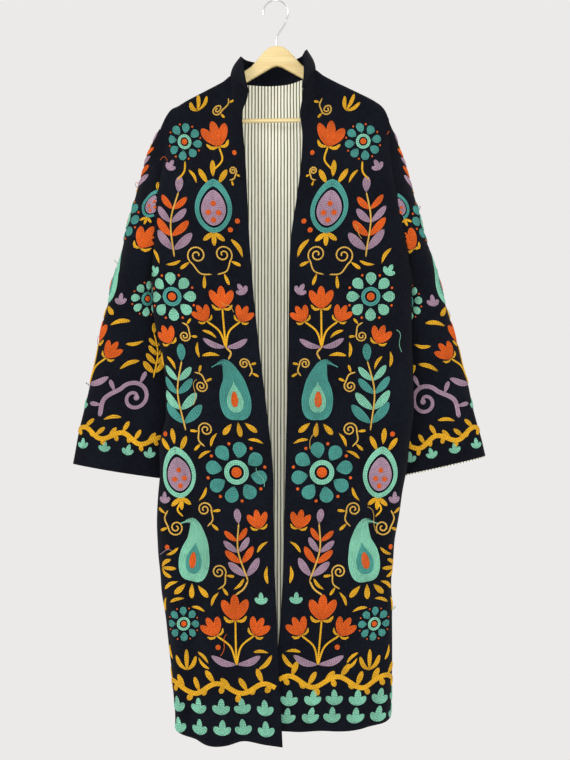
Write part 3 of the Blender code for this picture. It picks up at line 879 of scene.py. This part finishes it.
def yarn_look(name):
    """Mottled wool in chain stitches, with painted shade between the rows and between the links."""
    tint = YARNS[name]
    look = Look(name + " yarn", tint, 0.85, sheen=0.05, gloss=0.25)
    run, around = look.split(look.add("UVMap", {}, uv_map="yarn"))
    from_middle = look.sums("ABSOLUTE", look.sums("SUBTRACT", around, 0.5))
    link_share = look.plus(look.times(run, 1 / CHAIN_LINK), look.times(from_middle, 0.9))
    chain = look.sums("ABSOLUTE", look.sums("SINE", look.times(link_share, pi)))
    fibre = look.noise(run, around, 700, 9, 3)
    where = look.place()
    patches = look.add("TexNoise", {"Vector": where, "Scale": 30.0, "Detail": 4.0})
    specks = look.add("TexNoise", {"Vector": where, "Scale": 420.0, "Detail": 2.0})
    mottled = look.plus(look.times(patches, 0.7), look.times(specks, 0.9))
    # Painted shade: the dips between chain links are darkened; the fibre and mottle noise are the yarn's
    # own tone.
    threads = look.plus(look.times(chain, 0.4), fibre)
    light = look.span(look.plus(threads, mottled), 1.2, 1.95)
    body = look.mix(light, shade(tint, 0.55), shade(tint, 1.22, 0.01))
    # Painted shade: each row is darkened towards its edges, in the grooves where it meets the cloth and
    # the next row.
    painted_groove_shade = look.span(from_middle, 0.34, 0.5)
    look.finish({"Base Color": look.mix(painted_groove_shade, body, shade(tint, 0.3))})
    look.bump(look.plus(chain, look.plus(fibre, specks)), 0.001, 0.85)
    return look.material


yarn_materials = [yarn_look(name) for name in YARN_NAMES]


class Stitching:
    """Collects the yarn rows of a panel and makes one mesh of them."""

    def __init__(self, panel):
        self.cloth = panels[panel]
        self.name = "embroidery_" + panel
        self.vertices = []
        self.faces = []
        self.yarns = []
        self.flat = []
        self.count = 0

    def drawn_from(self, line, way):
        """Places are counted from this line, a function of the height, and run this way."""
        self.line = line
        self.way = way

    def row(self, places, half, yarn, height=YARN_HEIGHT, lift=0.0):
        """Lays a row of yarn on the cloth, and leaves out what runs off its edge."""
        across = self.line(places[:, 1]) + self.way * places[:, 0]
        laid, ups = self.cloth.lay(np.stack([across, places[:, 1]], axis=-1))
        half = np.broadcast_to(half, len(places))
        raised = laid + ups * np.broadcast_to(lift, len(places))[:, None]
        there = np.flatnonzero(~np.isnan(laid[:, 0]))
        for run in np.split(there, np.flatnonzero(np.diff(there) > 1) + 1):
            if len(run) > 2:
                self.tube(raised[run], ups[run], half[run], YARN_NAMES.index(yarn), height)

    def tube(self, laid, ups, half, yarn, height):
        """Adds a half-round cord along some points, sunk a little into the cloth."""
        aside = unit(np.cross(ups, np.gradient(laid, axis=0)))
        tall = height * np.clip(half / FULL_HEIGHT_HALF, LEAST_HEIGHT, 1)
        wide = np.cos(SECTION)[None, :, None] * half[:, None, None] * aside[:, None, :]
        high = (np.sin(SECTION)[None, :] * tall[:, None] - SINK)[..., None] * ups[:, None, :]
        self.vertices.append((laid[:, None, :] + wide + high).reshape(-1, 3))
        quads = squares(len(laid), len(SECTION)).reshape(-1, 4)[:, [0, 3, 2, 1]]
        self.faces.append(self.count + quads)
        self.yarns.append(np.full(len(quads), yarn))
        around = np.linspace(0, 1, len(SECTION))
        run = length_along(laid)[:, None] * MM
        flat = np.stack(np.broadcast_arrays(run, around[None, :]), axis=-1)
        self.flat.append(flat.reshape(-1, 2))
        self.count += len(laid) * len(SECTION)

    def finish(self):
        parts = [np.concatenate(part) for part in (self.vertices, self.faces, self.flat, self.yarns)]
        vertices, faces, flat, yarns = parts
        made = piece(self.name, vertices, faces, "yarn", flat, yarn_materials)
        made.data.polygons.foreach_set("material_index", yarns.astype(np.int32))


def direction(angle):
    return np.array([cos(angle), sin(angle)])


def spots(place, size, angle, *offsets):
    """Places given as how far up and aside they are from another, in shares of the size."""
    up, out = direction(angle), direction(angle - pi / 2)
    return [place + size * (rise * up + aside * out) for rise, aside in offsets]


def eased(count):
    """Shares from 0 to 1 that lie closer together at both ends."""
    return (1 - np.cos(np.linspace(0, pi, count))) / 2


def curve(points, step=STITCH, spread=None):
    """Places about a stitch apart on a smooth line through a few points."""
    points = np.array(points, float)
    run = length_along(points)
    count = max(4, ceil(run[-1] / step) + 1)
    at = run[-1] * (np.linspace(0, 1, count) if spread is None else spread(count))
    table = [(length, *point) for length, point in zip(run, points)]
    return np.stack([along(table, at, 1), along(table, at, 2)], axis=-1)


def sides(line):
    """Unit vectors to the left of a line."""
    way = unit(np.gradient(line, axis=0))
    return np.stack([-way[:, 1], way[:, 0]], axis=-1)


def swell(shares, fat, blunt, taper=None):
    """Half width along a leaf: 0 at its ends and 1 where it is fattest. The taper is its tip's."""
    power = np.where(shares < fat, blunt, taper or blunt)
    return np.sin(pi * shares ** (np.log(0.5) / np.log(fat))).clip(0) ** power


def side_by_side(work, line, half, count, yarn, lift=0.0):
    """Fills a band of this half width along a line with rows of yarn."""
    for i in range(count):
        aside = half * ((2 * i + 1) / count - 1)
        work.row(line + sides(line) * aside[:, None], half / count * OVERLAP, yarn, lift=lift)


def leaf(work, points, width, yarn, fat=0.56, blunt=0.6, lift=0.0, taper=None):
    """Fills a leaf along a line with rows that meet at its ends. A tapered one has a spine."""
    line = curve(points, spread=eased)
    shares = eased(len(line))
    if taper:
        work.row(line[shares > fat], SPINE_HALF, yarn, lift=lift)
    half = width / 2 * swell(shares, fat, blunt, taper)
    side_by_side(work, line, half, max(1, round(width / PITCH)), yarn, lift)


def cord(work, points, yarn, width=CORD_WIDTH, narrowed=0.4):
    """A single row of yarn along a line, narrower at both ends."""
    line = curve(points)
    half = np.full(len(line), width / 2)
    half[[0, -1]] *= narrowed
    work.row(line, half, yarn, CORD_HEIGHT)


def disc(work, middle, radius, yarn, inner=0.0, lift=0.0):
    """Fills a disc or a ring with rows one inside the other."""
    count = max(1, round((radius - inner) / PITCH))
    for i in range(count):
        r = between(inner, radius, (i + 0.5) / count)
        turns = np.linspace(0, 2 * pi, max(9, ceil(2 * pi * r / STITCH) + 1))
        ring = middle + r * np.stack([np.cos(turns), np.sin(turns)], axis=-1)
        work.row(ring, (radius - inner) / count / 2 * OVERLAP, yarn, lift=lift)


def nested(work, outline, middle, bands):
    """Fills bands of an outline with rows drawn in to a middle. A band is outer, inner, yarn."""
    spokes = outline - middle
    reach = np.linalg.norm(spokes, axis=1)
    for outer, inner, yarn in bands:
        count = max(1, round((outer - inner) * reach.mean() / PITCH))
        for i in range(count):
            share = between(outer, inner, (i + 0.5) / count)
            half = reach * (outer - inner) / count / 2 * OVERLAP
            work.row(middle + spokes * share, half, yarn)


# Motifs. Each takes its place, size, angle (0 is away from the panel's line, 90 is up) and yarns.
# The numbers in them are shares of the size, and turns from the angle in radians.
PETALS = 8
PAIRS = 4
DROP_STEP = 3
CURL_TURNS = 1.75
CURL_SHARE = 0.24
CURL_CLOSING = 0.86
CURL_WIDTH = 3.0
STEM_SHARE = 0.5
STEM_BEND = 0.45
SCROLL_TURNS = -1.4
SCROLL_WIDTH = 9.0


def fan(work, place, size, angle, spread, near, far, width, yarn, fat=0.56):
    """Three leaves that fan out. Near and far are given for the middle one and the others."""
    for way in (-1, 0, 1):
        ends = (near[abs(way)], 0), (far[abs(way)], 0)
        leaf(work, spots(place, size, angle + way * spread, *ends), size * width, yarn, fat)


def rosette(work, place, size, angle, yarns):
    petal, ring, heart = yarns
    for turn in angle + 2 * pi * np.arange(PETALS) / PETALS:
        leaf(work, spots(place, size, turn, (0.46, 0), (1, 0)), size * 0.46, petal, 0.6)
        disc(work, *spots(place, size, turn + pi / PETALS, (0.94, 0)), size * 0.055, heart)
    disc(work, place, size * 0.40, ring, inner=size * 0.24)
    disc(work, place, size * 0.17, heart)


def tulip(work, place, size, angle, yarns):
    petal, calyx = yarns
    for way in (-1, 1):
        lobe = spots(place, size, angle, (0, 0), (0.4, 0.26 * way), (0.84, 0.5 * way))
        leaf(work, lobe, size * 0.38, petal, 0.6, 0.55)
        sepal = spots(place, size, angle, (0, 0), (0, 0.3 * way), (0.2, 0.46 * way))
        leaf(work, sepal, size * 0.14, calyx)
    leaf(work, spots(place, size, angle, (0.06, 0), (1.04, 0)), size * 0.36, petal, 0.62, 0.55)


def paisley(work, place, size, angle, yarns):
    """A drop with a bent tip, filled in three colours, with three leaves at its foot."""
    rim, inside, heart, foot = yarns
    body = spots(place, size, angle, (-0.4, 0), (0, -0.03), (0.26, -0.05), (0.52, 0.05), (0.46, 0.25))
    leaf(work, body, size * 0.5, rim, 0.27, 0.62, taper=1.3)
    core = spots(place, size, angle, (-0.28, 0), (0, -0.03), (0.2, -0.05))
    leaf(work, core, size * 0.27, inside, 0.36, 0.6, UPPER_LAYER, taper=1.1)
    seed = spots(place, size, angle, (-0.2, 0), (0.06, -0.03))
    leaf(work, seed, size * 0.12, heart, 0.42, 0.6, 2 * UPPER_LAYER)
    base = spots(place, size, angle, (-0.35, 0))[0]
    fan(work, base, size, angle + pi, 0.8, (0.08, 0.14), (0.32, 0.38), 0.09, foot, 0.64)


def pomegranate(work, place, size, angle, yarns):
    rim, inside, seed, crown = yarns
    line = curve(spots(place, size, angle, (-0.38, 0), (-0.05, 0), (0.34, 0), (0.58, 0)), DROP_STEP)
    half = size * 0.33 * swell(np.linspace(0, 1, len(line)), 0.46, 0.62)
    aside = sides(line) * half[:, None]
    outline = np.concatenate([line + aside, (line - aside)[::-1]])
    nested(work, outline, place, [(1, 0.76, rim), (0.66, 0, inside)])
    for spot in spots(place, size, angle, (0.14, 0), (-0.02, 0.09), (-0.02, -0.09), (-0.15, 0)):
        disc(work, spot, size * 0.05, seed, lift=UPPER_LAYER)
    for way in (-1, 0, 1):
        start = spots(place, size, angle, (0.5 if way else 0.62, -0.1 * way))[0]
        leaf(work, spots(start, size, angle + way * 0.55, (0, 0), (0.3, 0)), size * 0.1, crown)
    base = spots(place, size, angle, (-0.36, 0))[0]
    fan(work, base, size, angle + pi, 0.9, (0, 0), (0.24, 0.24), 0.09, crown)


def sprig(work, place, size, angle, yarns):
    """Pairs of leaves along a bent stem, and one at its tip."""
    stem, *leaves = yarns
    line = curve(spots(place, size, angle, (0, 0), (0.5, 0.07), (0.86, 0)))
    cord(work, line, stem, STEM_WIDTH)
    for i in range(PAIRS):
        at = line[int(len(line) * (0.1 + 0.8 * i / PAIRS))]
        length = size * (0.34 - 0.03 * i)
        for way in (-1, 1):
            bend = spots(at, length, angle + way * 0.95, (0.55, 0.07 * way))[0]
            tip = at + direction(angle + way * 0.75) * length
            leaf(work, [at, bend, tip], length * 0.34, leaves[i % len(leaves)])
    top = spots(line[-1], size, angle, (0, 0), (0.22, 0))
    leaf(work, top, size * 0.11, leaves[PAIRS % len(leaves)])


def spiral(place, size, angle, turns):
    """A stem that starts at a place and winds into an evenly wound curl."""
    way = np.sign(turns)
    radius, stem = size * CURL_SHARE, size * STEM_SHARE
    bend = place + direction(angle - way * STEM_BEND) * stem * 0.5
    end = place + direction(angle) * stem
    middle = end + direction(angle + way * pi / 2) * radius
    count = ceil(2 * pi * abs(turns) * radius * 0.6 / STITCH) + 4
    wound = np.linspace(0, 1, count)[1:, None]
    turning = angle - way * pi / 2 + 2 * pi * turns * wound
    ring = np.hstack([np.cos(turning), np.sin(turning)])
    curl = middle + radius * (1 - CURL_CLOSING * wound) * ring
    return np.concatenate([curve([place, bend, end]), curl])


def fingers(work, line, shares, way, lengths, width, yarn):
    """Blunt leaves that stand off a line to one side."""
    for share, length in zip(shares, lengths):
        i = int(len(line) * share)
        tip = line[i] + sides(line)[i] * way * length
        leaf(work, [line[i], tip], width, yarn, fat=0.66, blunt=0.5)


def tendril(work, place, size, angle, yarns, turns=CURL_TURNS):
    """A thin stem that winds into a curl, with two fingers on its back."""
    line = spiral(place, size, angle, turns)
    half = np.full(len(line), CURL_WIDTH / 2)
    half[[0, -1]] *= 0.5
    work.row(line, half, yarns[0], CORD_HEIGHT)
    lengths = size * 0.34, size * 0.3
    fingers(work, line, (0.08, 0.26), -np.sign(turns), lengths, size * 0.05 + 3, yarns[1])


def scroll(work, place, size, angle, yarns):
    """A thick curl of yarn with fingers on its back."""
    line = spiral(place, size, angle, SCROLL_TURNS)
    half = np.linspace(1, 0.6, len(line)) * SCROLL_WIDTH / 2
    half[0] *= 0.4
    side_by_side(work, line, half, round(SCROLL_WIDTH / PITCH), yarns[0])
    disc(work, line[-1], SCROLL_WIDTH * 0.6, yarns[0])
    fingers(work, line, (0.1, 0.24, 0.4), 1, 3 * [size * 0.2], size * 0.07, yarns[0])


def bouquet(work, place, size, angle, yarns):
    """Three tulips on branching stems."""
    stem, petal, calyx, foliage = yarns
    for way, reach, bloom in ((0, 0.62, 0.36), (-1, 0.42, 0.28), (1, 0.42, 0.28)):
        branch = spots(place, size, angle, (0, 0), (0.26, 0.08 * way), (reach, 0.27 * way))
        cord(work, branch, stem)
        tulip(work, branch[-1], size * bloom, angle - way * 0.5, (petal, calyx))
    for way in (-1, 1):
        low = spots(place, size, angle, (0, 0), (0.03, 0.18 * way), (0.14, 0.36 * way))
        leaf(work, low, size * 0.1, foliage)


def bud(work, place, size, angle, yarns):
    fan(work, place, size, angle, 0.75, (0, 0), (1, 0.75), 0.42, yarns[0], 0.6)


def spray(work, place, size, angle, yarns):
    """Long blunt leaves that fan out from one place."""
    for way in (-1, 0, 1):
        turn = angle + way * 0.62
        length = size * (0.86 if way else 1)
        bend = place + direction(turn + way * 0.25) * length * 0.5
        tip = place + direction(turn) * length
        leaf(work, [place, bend, tip], size * 0.17 + 2, yarns[0], 0.6, 0.5)


def dot(work, place, size, angle, yarns):
    disc(work, place, size, yarns[0])


def blade(work, place, size, angle, yarns):
    """A single bent leaf."""
    bend = place + direction(angle + 0.2) * size * 0.5
    leaf(work, [place, bend, place + direction(angle) * size], size * 0.22, yarns[0])


# Each kind of motif, and the yarns that it is worked in.
KINDS = {
    "teal rosette": (rosette, ("teal", "mint", "orange")),
    "mint rosette": (rosette, ("mint", "teal", "orange")),
    "tulip": (tulip, ("orange", "mustard")),
    "teal paisley": (paisley, ("teal", "mint", "orange", "mustard")),
    "mint paisley": (paisley, ("mint", "teal", "orange", "mustard")),
    "teal pomegranate": (pomegranate, ("teal", "mauve", "orange", "mustard")),
    "mint pomegranate": (pomegranate, ("mint", "mauve", "orange", "mustard")),
    "mauve sprig": (sprig, ("straw", "mauve", "orange")),
    "mustard sprig": (sprig, ("mustard", "mustard")),
    "teal sprig": (sprig, ("straw", "teal", "mint")),
    "curl": (tendril, ("straw", "mustard")),
    "curl back": (partial(tendril, turns=-CURL_TURNS), ("straw", "mustard")),
    "scroll": (scroll, ("mauve",)),
    "bouquet": (bouquet, ("mustard", "orange", "mustard", "mauve")),
    "mint bud": (bud, ("mint",)),
    "mauve bud": (bud, ("mauve",)),
    "spray": (spray, ("mustard",)),
    "dot": (dot, ("orange",)),
    "blade": (blade, ("mustard",)),
}

# Where the motifs are: distance from the front edge, height, size and angle in degrees.
FRONT_MOTIFS = {
    "curl": [
        (28, -183, 46, 280), (73, -510, 76, 30), (134, -597, 44, 240), (122, -687, 48, 225),
        (120, -821, 56, 75),
    ],
    "spray": [(82, -206, 34, 70), (213, -1042, 32, 180), (170, -1226, 38, 92)],
    "teal rosette": [(112, -264, 36, 10), (66, -868, 56, 12), (172, -1142, 31, 0)],
    "tulip": [(44, -276, 50, 80), (161, -635, 34, 70), (25, -970, 34, 80)],
    "dot": [
        (14, -287, 5, 0), (19, -413, 5, 0), (33, -429, 5, 0), (193, -799, 5, 0), (197, -1004, 5, 0),
        (107, -1183, 5, 0),
    ],
    "mauve bud": [(146, -318, 22, 120), (16, -546, 22, 60), (201, -925, 22, 90)],
    "curl back": [
        (29, -338, 34, 140), (62, -510, 70, 135), (24, -694, 42, 100), (194, -937, 62, 270),
        (119, -965, 56, 105), (103, -1078, 56, 120),
    ],
    "blade": [
        (91, -343, 28, 60), (14, -479, 38, 60), (167, -490, 32, 60), (154, -492, 28, 165),
        (75, -625, 28, 30), (110, -632, 28, 270), (184, -649, 28, 270), (73, -657, 32, 0),
        (156, -682, 28, 60), (95, -797, 28, 300), (13, -816, 28, 15), (109, -829, 28, 330),
        (135, -919, 28, 120), (10, -993, 28, 315), (200, -1018, 28, 150), (12, -1037, 32, 270),
        (179, -1065, 32, 330), (75, -1080, 28, 135), (103, -1084, 28, 300), (205, -1095, 28, 285),
        (169, -1096, 28, 345), (129, -1119, 28, 15), (206, -1181, 28, 255), (13, -1192, 28, 0),
        (145, -1202, 28, 225), (126, -1212, 28, 45), (34, -1223, 38, 135),
    ],
    "teal pomegranate": [(62, -396, 104, 92)],
    "mauve sprig": [(138, -478, 138, 96), (48, -1064, 122, 82)],
    "mint bud": [(176, -511, 22, 60), (25, -1106, 22, 90)],
    "mint rosette": [(148, -550, 44, 0)],
    "bouquet": [(60, -642, 112, 91), (74, -1216, 128, 90)],
    "teal paisley": [(58, -728, 114, 86)],
    "teal sprig": [(152, -792, 146, 94)],
    "mint pomegranate": [(172, -878, 98, 86)],
    "mint paisley": [(148, -1018, 118, 95)],
}
# Stems between the motifs: yarn, then places as distance from the front edge and height.
FRONT_STEMS = [
    ("mustard", [(44, -276), (40, -300), (58, -320)]),
    ("mustard", [(112, -302), (114, -322), (128, -338)]),
    ("straw", [(60, -642), (52, -652), (58, -664)]),
    ("mustard", [(172, -924), (176, -936), (166, -948)]),
    ("straw", [(48, -1064), (56, -1078), (72, -1090)]),
]
# The back has the same on both halves, a little further from its middle, and these along it.
BACK_LINE = 3.0
BACK_SHIFT = 22
BACK_MIDDLE = {
    "mustard sprig": [
        (0, -243, 56, 90), (0, -332, 64, 90), (0, -423, 56, 90), (0, -557, 64, 90), (0, -694, 56, 90),
        (0, -835, 56, 90), (0, -990, 56, 90), (0, -1082, 56, 90), (0, -1193, 56, 90),
    ],
    "mauve bud": [(0, -357, 18, 90)],
    "spray": [(0, -468, 28, 90), (0, -1127, 32, 90)],
    "tulip": [(0, -602, 36, 90), (0, -749, 36, 90), (0, -879, 32, 90)],
    "dot": [(0, -616, 5, 90), (0, -763, 5, 90)],
    "mint bud": [(0, -912, 24, 90), (0, -1017, 20, 90)],
}
# Counted from the sleeve's outer fold: first those on the fold, then those on both halves.
FOLD_MOTIFS = {
    "mauve sprig": [(0, -366, 112, 90)],
    "teal rosette": [(0, -420, 40, 0)],
    "mint paisley": [(4, -532, 112, 86)],
    "bouquet": [(0, -730, 122, 90)],
    "mint bud": [(0, -778, 22, 90)],
}
SLEEVE_MOTIFS = {
    "teal pomegranate": [(58, -392, 62, 80)],
    "tulip": [(54, -474, 44, 70)],
    "mint rosette": [(92, -566, 32, 0)],
    "mauve bud": [(41, -580, 22, 90)],
    "blade": [(29, -618, 38, 15), (96, -642, 32, 195), (62, -697, 38, 30), (51, -791, 32, 15)],
    "mustard sprig": [(126, -706, 92, 98)],
    "scroll": [(42, -786, 124, 62)],
}
# The heights of the fronts' border and of the two rows of buds below it, and how far they reach.
HEM_HEIGHTS = {"left": (-1258, -1305, -1343), "right": (-1246, -1289, -1321)}
FRONT_REACH = (4, 250)
BACK_REACH = (0, 260)
HEM_WAVE = 10
BUD_SPACING = 42
BUD_SIZE = 29
BUD_RISE = 2
BUD_SWAY = 0.12
CUFF_BORDER = -818
CUFF_BUDS = -850
CUFF_REACH = 190
CUFF_WAVE = 8
CUFF_BUD_SIZE = 20
# The border: its rows, and in shares of its wave the length of that and of its leaves each way.
VINE_ROWS = (-2.8, 0, 2.8)
VINE_HALF = 1.7
VINE_LENGTH = 9
VINE_SPACING = 1.5
VINE_LEAVES = {1: 2.9, -1: 1.7}
VINE_LEAF_WIDTH = 1.1
VINE_TURN = 1.05
VINE_SWAY = 0.2
# Loose ends: distance from the panel's line, height, length, angle in radians and yarn.
LOOSE_STEPS = 9
LOOSE_HALF = 0.55
LOOSE_LIFT = 9
LOOSE_ARCH = 0.75
LOOSE_FALL = 0.6
LOOSE_WAVE = 0.12
FRONT_ENDS = {
    "left": [
        (150, -300, 26, 0.6, "orange"), (60, -560, 22, 3.4, "straw"), (120, -700, 30, -1.2, "straw"),
        (30, -860, 24, -2.2, "mint"), (188, -1010, 22, 0.3, "mauve"), (90, -1160, 26, -1.0, "orange"),
    ],
    "right": [
        (166, -250, 30, 0.4, "orange"), (110, -420, 22, -0.6, "straw"), (196, -610, 26, -1.3, "mint"),
        (56, -780, 30, -2.0, "straw"), (150, -930, 34, -1.0, "straw"), (214, -1120, 26, 0.4, "mint"),
    ],
}
SLEEVE_ENDS = {
    "left": [
        (-8, -352, 24, 0.5, "orange"), (4, -500, 20, 2.6, "mint"), (-4, -640, 26, -0.4, "orange"),
        (6, -730, 20, 2.8, "mauve"), (70, -560, 24, -1.0, "straw"),
    ],
    "right": [
        (8, -330, 26, 0.4, "orange"), (-4, -396, 30, 0.7, "mauve"), (6, -470, 24, 0.2, "orange"),
        (0, -590, 22, -0.3, "mint"), (8, -690, 26, 0.5, "mauve"), (60, -640, 26, -1.2, "straw"),
    ],
}


def vine(work, height, start, end, wave):
    """A thick wavy stem of mustard yarn with short leaves on both sides."""

    def level(at):
        return height + wave * np.sin(2 * pi * at / (wave * VINE_LENGTH))

    at = np.arange(start, end, STITCH)
    line = np.stack([at, level(at)], axis=-1)
    for aside in VINE_ROWS:
        work.row(line + sides(line) * aside, VINE_HALF, "mustard", CORD_HEIGHT)
    spacing = wave * VINE_SPACING
    for i, place in enumerate(np.arange(start + spacing / 2, end, spacing)):
        way = 1 if i % 2 else -1
        ends = (0, 0), (wave * VINE_LEAVES[way], 0)
        turn = way * (VINE_TURN + VINE_SWAY * sin(place))
        points = spots(np.array([place, level(place)]), 1, turn, *ends)
        leaf(work, points, wave * VINE_LEAF_WIDTH, "mustard", fat=0.6)


def buds(work, height, start, end, size):
    """A row of mint buds, each a little out of line."""
    for at in np.arange(start, end, BUD_SPACING):
        place = np.array([at, height + BUD_RISE * sin(3 * at)])
        bud(work, place, size, pi / 2 + BUD_SWAY * sin(at), ("mint",))


def stitch(work, motifs, shift=0):
    for kind, places in motifs.items():
        motif, yarns = KINDS[kind]
        for aside, height, size, angle in places:
            motif(work, np.array([aside + shift, height], float), size, radians(angle), yarns)


def stitch_front(work, side, reach, shift=0):
    """The motifs, stems and hem that each front and each half of the back has."""
    stitch(work, FRONT_MOTIFS, shift)
    for yarn, places in FRONT_STEMS:
        cord(work, [(aside + shift, height) for aside, height in places], yarn)
    border, *heights = HEM_HEIGHTS[side]
    start, end = reach
    vine(work, border, start, end, HEM_WAVE)
    for height in heights:
        buds(work, height, start + BUD_SPACING / 2, end, BUD_SIZE)


def loose_end(work, aside, height, length, angle, yarn):
    """A thin end of yarn that stands off the cloth and hangs down."""
    at = np.linspace(0, 1, LOOSE_STEPS)
    way = direction(angle)
    line = np.array([aside, height], float) + at[:, None] * way * length
    line += np.sin(2 * pi * at)[:, None] * direction(angle + pi / 2) * length * LOOSE_WAVE
    line[:, 1] -= length * LOOSE_FALL * at**2
    lift = LOOSE_LIFT * np.sin(pi * at * LOOSE_ARCH)
    work.row(line, LOOSE_HALF, yarn, 2 * LOOSE_HALF, lift)


def straight(middle):
    """A panel's own line where it is straight: the same at every height."""
    return lambda height: np.full_like(height, middle)


def add_embroidery():
    for side, sign in SIGN.items():
        work = Stitching(f"front_{side}")
        work.drawn_from(lambda height: along(FRONT_EDGE[side], height), sign)
        stitch_front(work, side, FRONT_REACH)
        for end in FRONT_ENDS[side]:
            loose_end(work, *end)
        work.finish()

        work = Stitching(f"sleeve_{side}")
        for facing in (-1, 1):
            work.drawn_from(straight(0.0), sign * facing)
            stitch(work, SLEEVE_MOTIFS)
            vine(work, CUFF_BORDER, 0, CUFF_REACH, CUFF_WAVE)
            buds(work, CUFF_BUDS, BUD_SPACING / 2, CUFF_REACH, CUFF_BUD_SIZE)
        stitch(work, FOLD_MOTIFS)
        work.drawn_from(straight(0.0), sign)
        for end in SLEEVE_ENDS[side]:
            loose_end(work, *end)
        work.finish()

    # The back's hem is level with that of the right front.
    work = Stitching("back")
    for sign in SIGN.values():
        work.drawn_from(straight(BACK_LINE), -sign)
        stitch_front(work, "right", BACK_REACH, BACK_SHIFT)
    stitch(work, BACK_MIDDLE)
    work.finish()


# The stage: a pale floor well below the hem, soft lights and a plain pale room.
FLOOR_HEIGHT = -1.62
FLOOR_RADIUS = 0.62
FLOOR_THICKNESS = 0.02
WORLD_LIGHT = 1.0
# Lights: name, place, the place it points at, size in metres, power in watts.
LIGHTS = [
    ("key", (-1.5, -1.9, 0.5), (0, 0, -0.65), 1.0, 15),
    ("front", (0.02, -2.7, -0.8), (0, 0, -0.85), 0.25, 28),
    ("fill", (1.8, -1.8, -0.4), (0, 0, -0.7), 1.8, 4),
    ("rear", (0.6, 2.2, 0.6), (0, 0, -0.5), 1.8, 20),
]
CAMERA_PLACE = (0.017, -2.2, -0.701)
HALF_VIEW = 0.703


def add_stage():
    bpy.ops.mesh.primitive_cylinder_add(
        vertices=128,
        radius=FLOOR_RADIUS,
        depth=FLOOR_THICKNESS,
        location=(0, 0, FLOOR_HEIGHT - FLOOR_THICKNESS / 2),
    )
    floor = bpy.context.object
    floor.name = "floor"
    floor.data.materials.append(Look("floor", tone(214, 213, 211), 0.8).material)
    world = bpy.data.worlds.new("room")
    world.use_nodes = True
    world.node_tree.nodes["Background"].inputs[0].default_value = tone(236, 234, 233)
    world.node_tree.nodes["Background"].inputs[1].default_value = WORLD_LIGHT
    bpy.context.scene.world = world
    bpy.context.scene.view_settings.view_transform = "Standard"
    for name, place, target, size, power in LIGHTS:
        data = bpy.data.lights.new(name, "AREA")
        data.shape = "DISK"
        data.size = size
        data.energy = power
        light = link(name, data)
        light.location = place
        aim = Vector(target) - Vector(place)
        light.rotation_euler = aim.to_track_quat("-Z", "Y").to_euler()


def add_camera():
    data = bpy.data.cameras.new("camera")
    data.sensor_fit = "VERTICAL"
    data.angle = 2 * atan(HALF_VIEW / -CAMERA_PLACE[1])
    camera = link("camera", data)
    camera.location = CAMERA_PLACE
    camera.rotation_euler = (pi / 2, 0, 0)
    bpy.context.scene.camera = camera


add_fronts()
add_back()
add_sleeves()
add_collar()
add_embroidery()
add_hanger()
add_stage()
add_camera()
